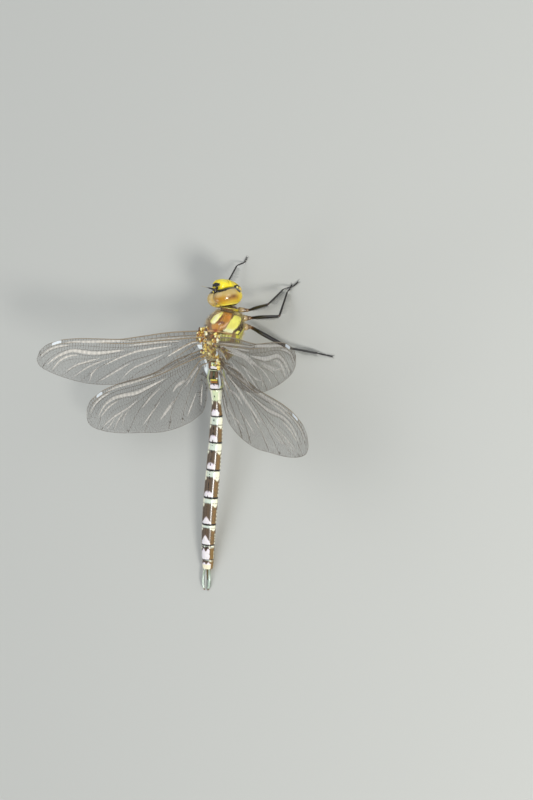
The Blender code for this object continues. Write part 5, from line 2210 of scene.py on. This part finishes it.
def hinge_mound(wing):
    """The soft skin under the plates, grown from the body out to the wing's root."""
    side = SIDES[wing[-1]]
    start, end = HINGES[wing][0][0], WING_POSE[wing][0][0]
    stations = []
    for share in (-0.15, 0.0, 0.25, 0.5, 0.75, 0.95, 1.02):
        y, z, half_length, half_height = hinge_line(wing, start + (end - start) * share)
        slim = 0.75 if share > 1 else 1.0
        stations.append(
            (start + (end - start) * share, side * y, z, half_length * slim, half_height * slim)
        )
    mound = smooth_over(grow(f"{wing}_mound", stations, 20), 2)
    lay_sideways = Matrix(((0, 0, side), (side, 0, 0), (0, 1, 0))).to_4x4()
    mound.data.transform(lay_sideways)
    x, y, z = points_of(mound).T
    raise_skin(mound, 0.07 * ripple(x * 1.3, y * 1.3, 0.7, 0.5))
    coat = lay("C4A04E", ("785228", 0.7 * ease(ripple(x, y, 0.8, 1.7) * 1.6)))
    paint(mound, coat)
    return mound


def hinge(wing):
    """The skin and the plates between a wing's root and the middle of the back."""
    draw = random.Random("hinge " + wing)
    side = SIDES[wing[-1]]
    end = WING_POSE[wing][0][0]
    spots = []
    rows, inward, forward_by = CLUSTERS[wing]
    for row in range(rows):
        for column in range(7):
            reach = end + 0.25 - inward - 0.46 * row + draw.uniform(-0.13, 0.13)
            middle, height, half_length, half_height = hinge_line(wing, max(reach, HINGES[wing][0][0]))
            y = middle + forward_by + half_length * (1.25 - 0.38 * column) + draw.uniform(-0.14, 0.14)
            swell = math.sqrt(max(0.0, 1 - ((y - middle) / (half_length * 1.05)) ** 2))
            z = max(back_height(side * reach, y), height + half_height * swell) + 0.04
            size = (draw.uniform(0.26, 0.52), draw.uniform(0.22, 0.42), draw.uniform(0.2, 0.38))
            spots.append(
                ((side * reach, y, z), size, draw.uniform(-1.0, 1.0), side * 0.5, draw.choice(LUMP_HUES))
            )
    return join(f"{wing}_hinge", [lumps(f"{wing}_hinge", spots), hinge_mound(wing)])


for wing in WING_POSE:
    settle(hinge(wing), hinge_wax, THORAX_PLACE, [f"hinge_{wing}"])
print("four hinges")

# %% White flaps behind the roots
membrane_white = shell_finish(
    "membrane_white", rough=(0.35, 0.5), cloud=0.06, grain=0.12, grain_size=0.2, coat=0.3,
    colour=(0.72, 0.78, 0.80),
)


def flap(wing, span_reach, chord_from, chord_to):
    """A small pleated sheet along the rear of a wing's root."""
    pair, side = wing[:4], SIDES[wing[-1]]
    rows, columns = 10, 8
    points, faces = [], []
    for row in range(rows):
        share = row / (rows - 1)
        reach = span_reach * (1 - share) ** 0.7 + 0.002
        chord = chord_from + (chord_to - chord_from) * share
        for column in range(columns):
            across = column / (columns - 1)
            span = -0.012 + (reach + 0.012) * across
            rise = 0.12 * math.sin(across * 9.0 + share * 3.0) - 0.35 * share * (1 - across)
            points.append((side * span * WING_LENGTH[pair], -chord * WING_LENGTH[pair], rise + 0.1))
    for row in range(rows - 1):
        for column in range(columns - 1):
            a = row * columns + column
            faces.append((a, a + 1, a + columns + 1, a + columns))
    piece = new_piece(f"{wing}_flap", points, faces)
    bpy.ops.object.modifier_add(type="SOLIDIFY")
    piece.modifiers[-1].thickness = 0.08
    piece.modifiers[-1].offset = 0.0
    bpy.ops.object.modifier_add(type="SUBSURF")
    piece.modifiers[-1].levels = piece.modifiers[-1].render_levels = 1
    face_out(apply_all(piece))
    bpy.ops.object.shade_smooth()
    return piece


for wing in WING_POSE:
    reach, to = (0.028, 0.085) if wing.startswith("fore") else (0.045, 0.165)
    settle(flap(wing, reach, 0.045, to), membrane_white, wing_turn(wing))
print("four flaps")

# %% [markdown]
# ## Down
# A hawker is hairier than it looks: long pale down stands on the front and the flanks
# of the thorax, behind the head, between the legs and on the first abdomen rings. Each
# hair is the same fine cone as a spine, longer and bent back. Real particle hair would
# not leave Blender with the model, so the hairs are ordinary meshes. For each hair a
# map named OFBake holds a tiny patch at its root's place on an unrolled skin.

# %% Hairs on a plate
def hair_roots(plate, count, chosen, draw):
    """Places and directions of hairs on a settled plate, in millimetres, where it is chosen."""
    places, ways = points_of(plate) / MM, outward(plate)
    able = np.nonzero(chosen)[0]
    return [
        (Vector(places[k]), Vector(ways[k]))
        for k in (able[draw.randrange(len(able))] for _ in range(count))
    ]


def unroll(places, low, high):
    """Where roots lie on the unrolled skin: around the body, and along it."""
    centre = (low + high) / 2
    around = np.arctan2(places[:, 0] - centre[0], places[:, 2] - centre[2]) / (2 * math.pi) + 0.5
    along = (places[:, 1] - low[1]) / (high[1] - low[1])
    return np.clip(np.stack([around, along], axis=1), 0.004, 0.996)


HAIR_PATCH = 0.003


def down(name, roots, length, thick, lean, colours, draw):
    """Many hairs as one mesh, with the OFBake map."""
    cones, tones = [], []
    for spot, way in roots:
        tilt = Vector((draw.uniform(-0.35, 0.35), draw.uniform(-0.35, 0.35), draw.uniform(-0.35, 0.35)))
        long = length * draw.uniform(0.6, 1.15)
        bend = (lean + tilt * 0.5) * 0.45
        cones.append((spot - way * 0.05, way + tilt + lean * 0.4, long, thick, bend))
        tones.append(draw.choice(colours))
    piece = bristles(name, cones)
    per = len(piece.data.vertices) // len(cones)
    paint(piece, np.repeat([shade(tone) for tone in tones], per, axis=0))
    spots = np.array([tuple(spot) for spot, _ in roots])
    base = unroll(spots, spots.min(axis=0), spots.max(axis=0))
    layer = piece.data.uv_layers.new(name="OFBake")
    corners = np.empty(len(piece.data.loops), dtype=np.int32)
    piece.data.loops.foreach_get("vertex_index", corners)
    hair, part = corners // per, corners % per
    offset = np.stack([(part % 3) - 1.0, part // 3 - 1.5], axis=1) * HAIR_PATCH / 3.2
    layer.data.foreach_set("uv", (base[hair] + offset).astype(np.float32).ravel())
    return piece


print("down builder is ready")

# %% Down of the thorax, the collar, the head and the first rings
draw = random.Random("down")
down_finish = shell_finish("down_finish", rough=(0.45, 0.6), cloud=0.08, grain=0.0, coat=0.1)
PALE_HAIRS = ("E2D0A0", "F0E4BE", "BEA470", "D6BE8C")
DARK_HAIRS = ("786040", "5A4832", "CEB88A")
BACKWARD = Vector((0, -0.8, 0.1))
spots = (points_of(thorax) / MM - np.array(CENTRE)) @ np.array(THORAX_TURN.to_3x3())
turned = np.abs(np.degrees(np.arctan2(spots[:, 0], spots[:, 2] - 0.3)))
left_flank = (spots[:, 0] < -2.3) & (spots[:, 1] > -0.6)
left_rim = (spots[:, 0] < -1.6) & (spots[:, 1] > 0.4) & (spots[:, 2] > 0.5)
front = (spots[:, 1] > 3.3) & (turned < 120)
low_flank = (turned > 98) & (spots[:, 1] > -5.5)
between = (spots[:, 1] < -1.2) & (turned < 52)
head_spots = points_of(capsule) / MM
head_local = (np.c_[head_spots, np.ones(len(head_spots))] @ np.array(HEAD_PLACE.inverted()).T)[:, :3]
rear_rim = (head_local[:, 1] < -2.0) & (np.hypot(head_local[:, 0], head_local[:, 2]) > 1.6)
first, second = (bpy.data.objects[f"abdomen_ring_{number:02d}"] for number in (1, 2))
# name, plate, slot, count, where, length and half thickness of the hairs, their colours
PATCHES = (
    ("down_front", thorax, "thorax", 420, front, 0.95, 0.022, PALE_HAIRS),
    ("down_left", thorax, "thorax", 260, left_flank, 0.8, 0.022, DARK_HAIRS),
    ("down_rim", thorax, "thorax", 260, left_rim, 0.85, 0.022, PALE_HAIRS),
    ("down_flanks", thorax, "thorax", 900, low_flank, 0.85, 0.022, PALE_HAIRS),
    ("down_back", thorax, "thorax", 420, between, 0.7, 0.022, PALE_HAIRS),
    ("down_collar", collar, "thorax", 300, outward(collar)[:, 1] > -0.3, 0.8, 0.022, PALE_HAIRS),
    ("down_head", capsule, "head", 220, rear_rim, 0.6, 0.02, PALE_HAIRS),
    ("down_ring_1", first, "abdomen", 160, outward(first)[:, 2] < 0.75, 0.6, 0.02, PALE_HAIRS),
    ("down_ring_2", second, "abdomen", 120, outward(second)[:, 2] < 0.75, 0.6, 0.02, PALE_HAIRS),
)
for name, plate, slot, count, chosen, length, thick, colours in PATCHES:
    roots = hair_roots(plate, count, chosen, draw)
    settle(down(name, roots, length, thick, BACKWARD, colours, draw), down_finish)
print("hairs:", sum(row[3] for row in PATCHES))

# %% Finish
low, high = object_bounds()
print("box in mm:", [round(v * 1000, 2) for v in low], [round(v * 1000, 2) for v in high])
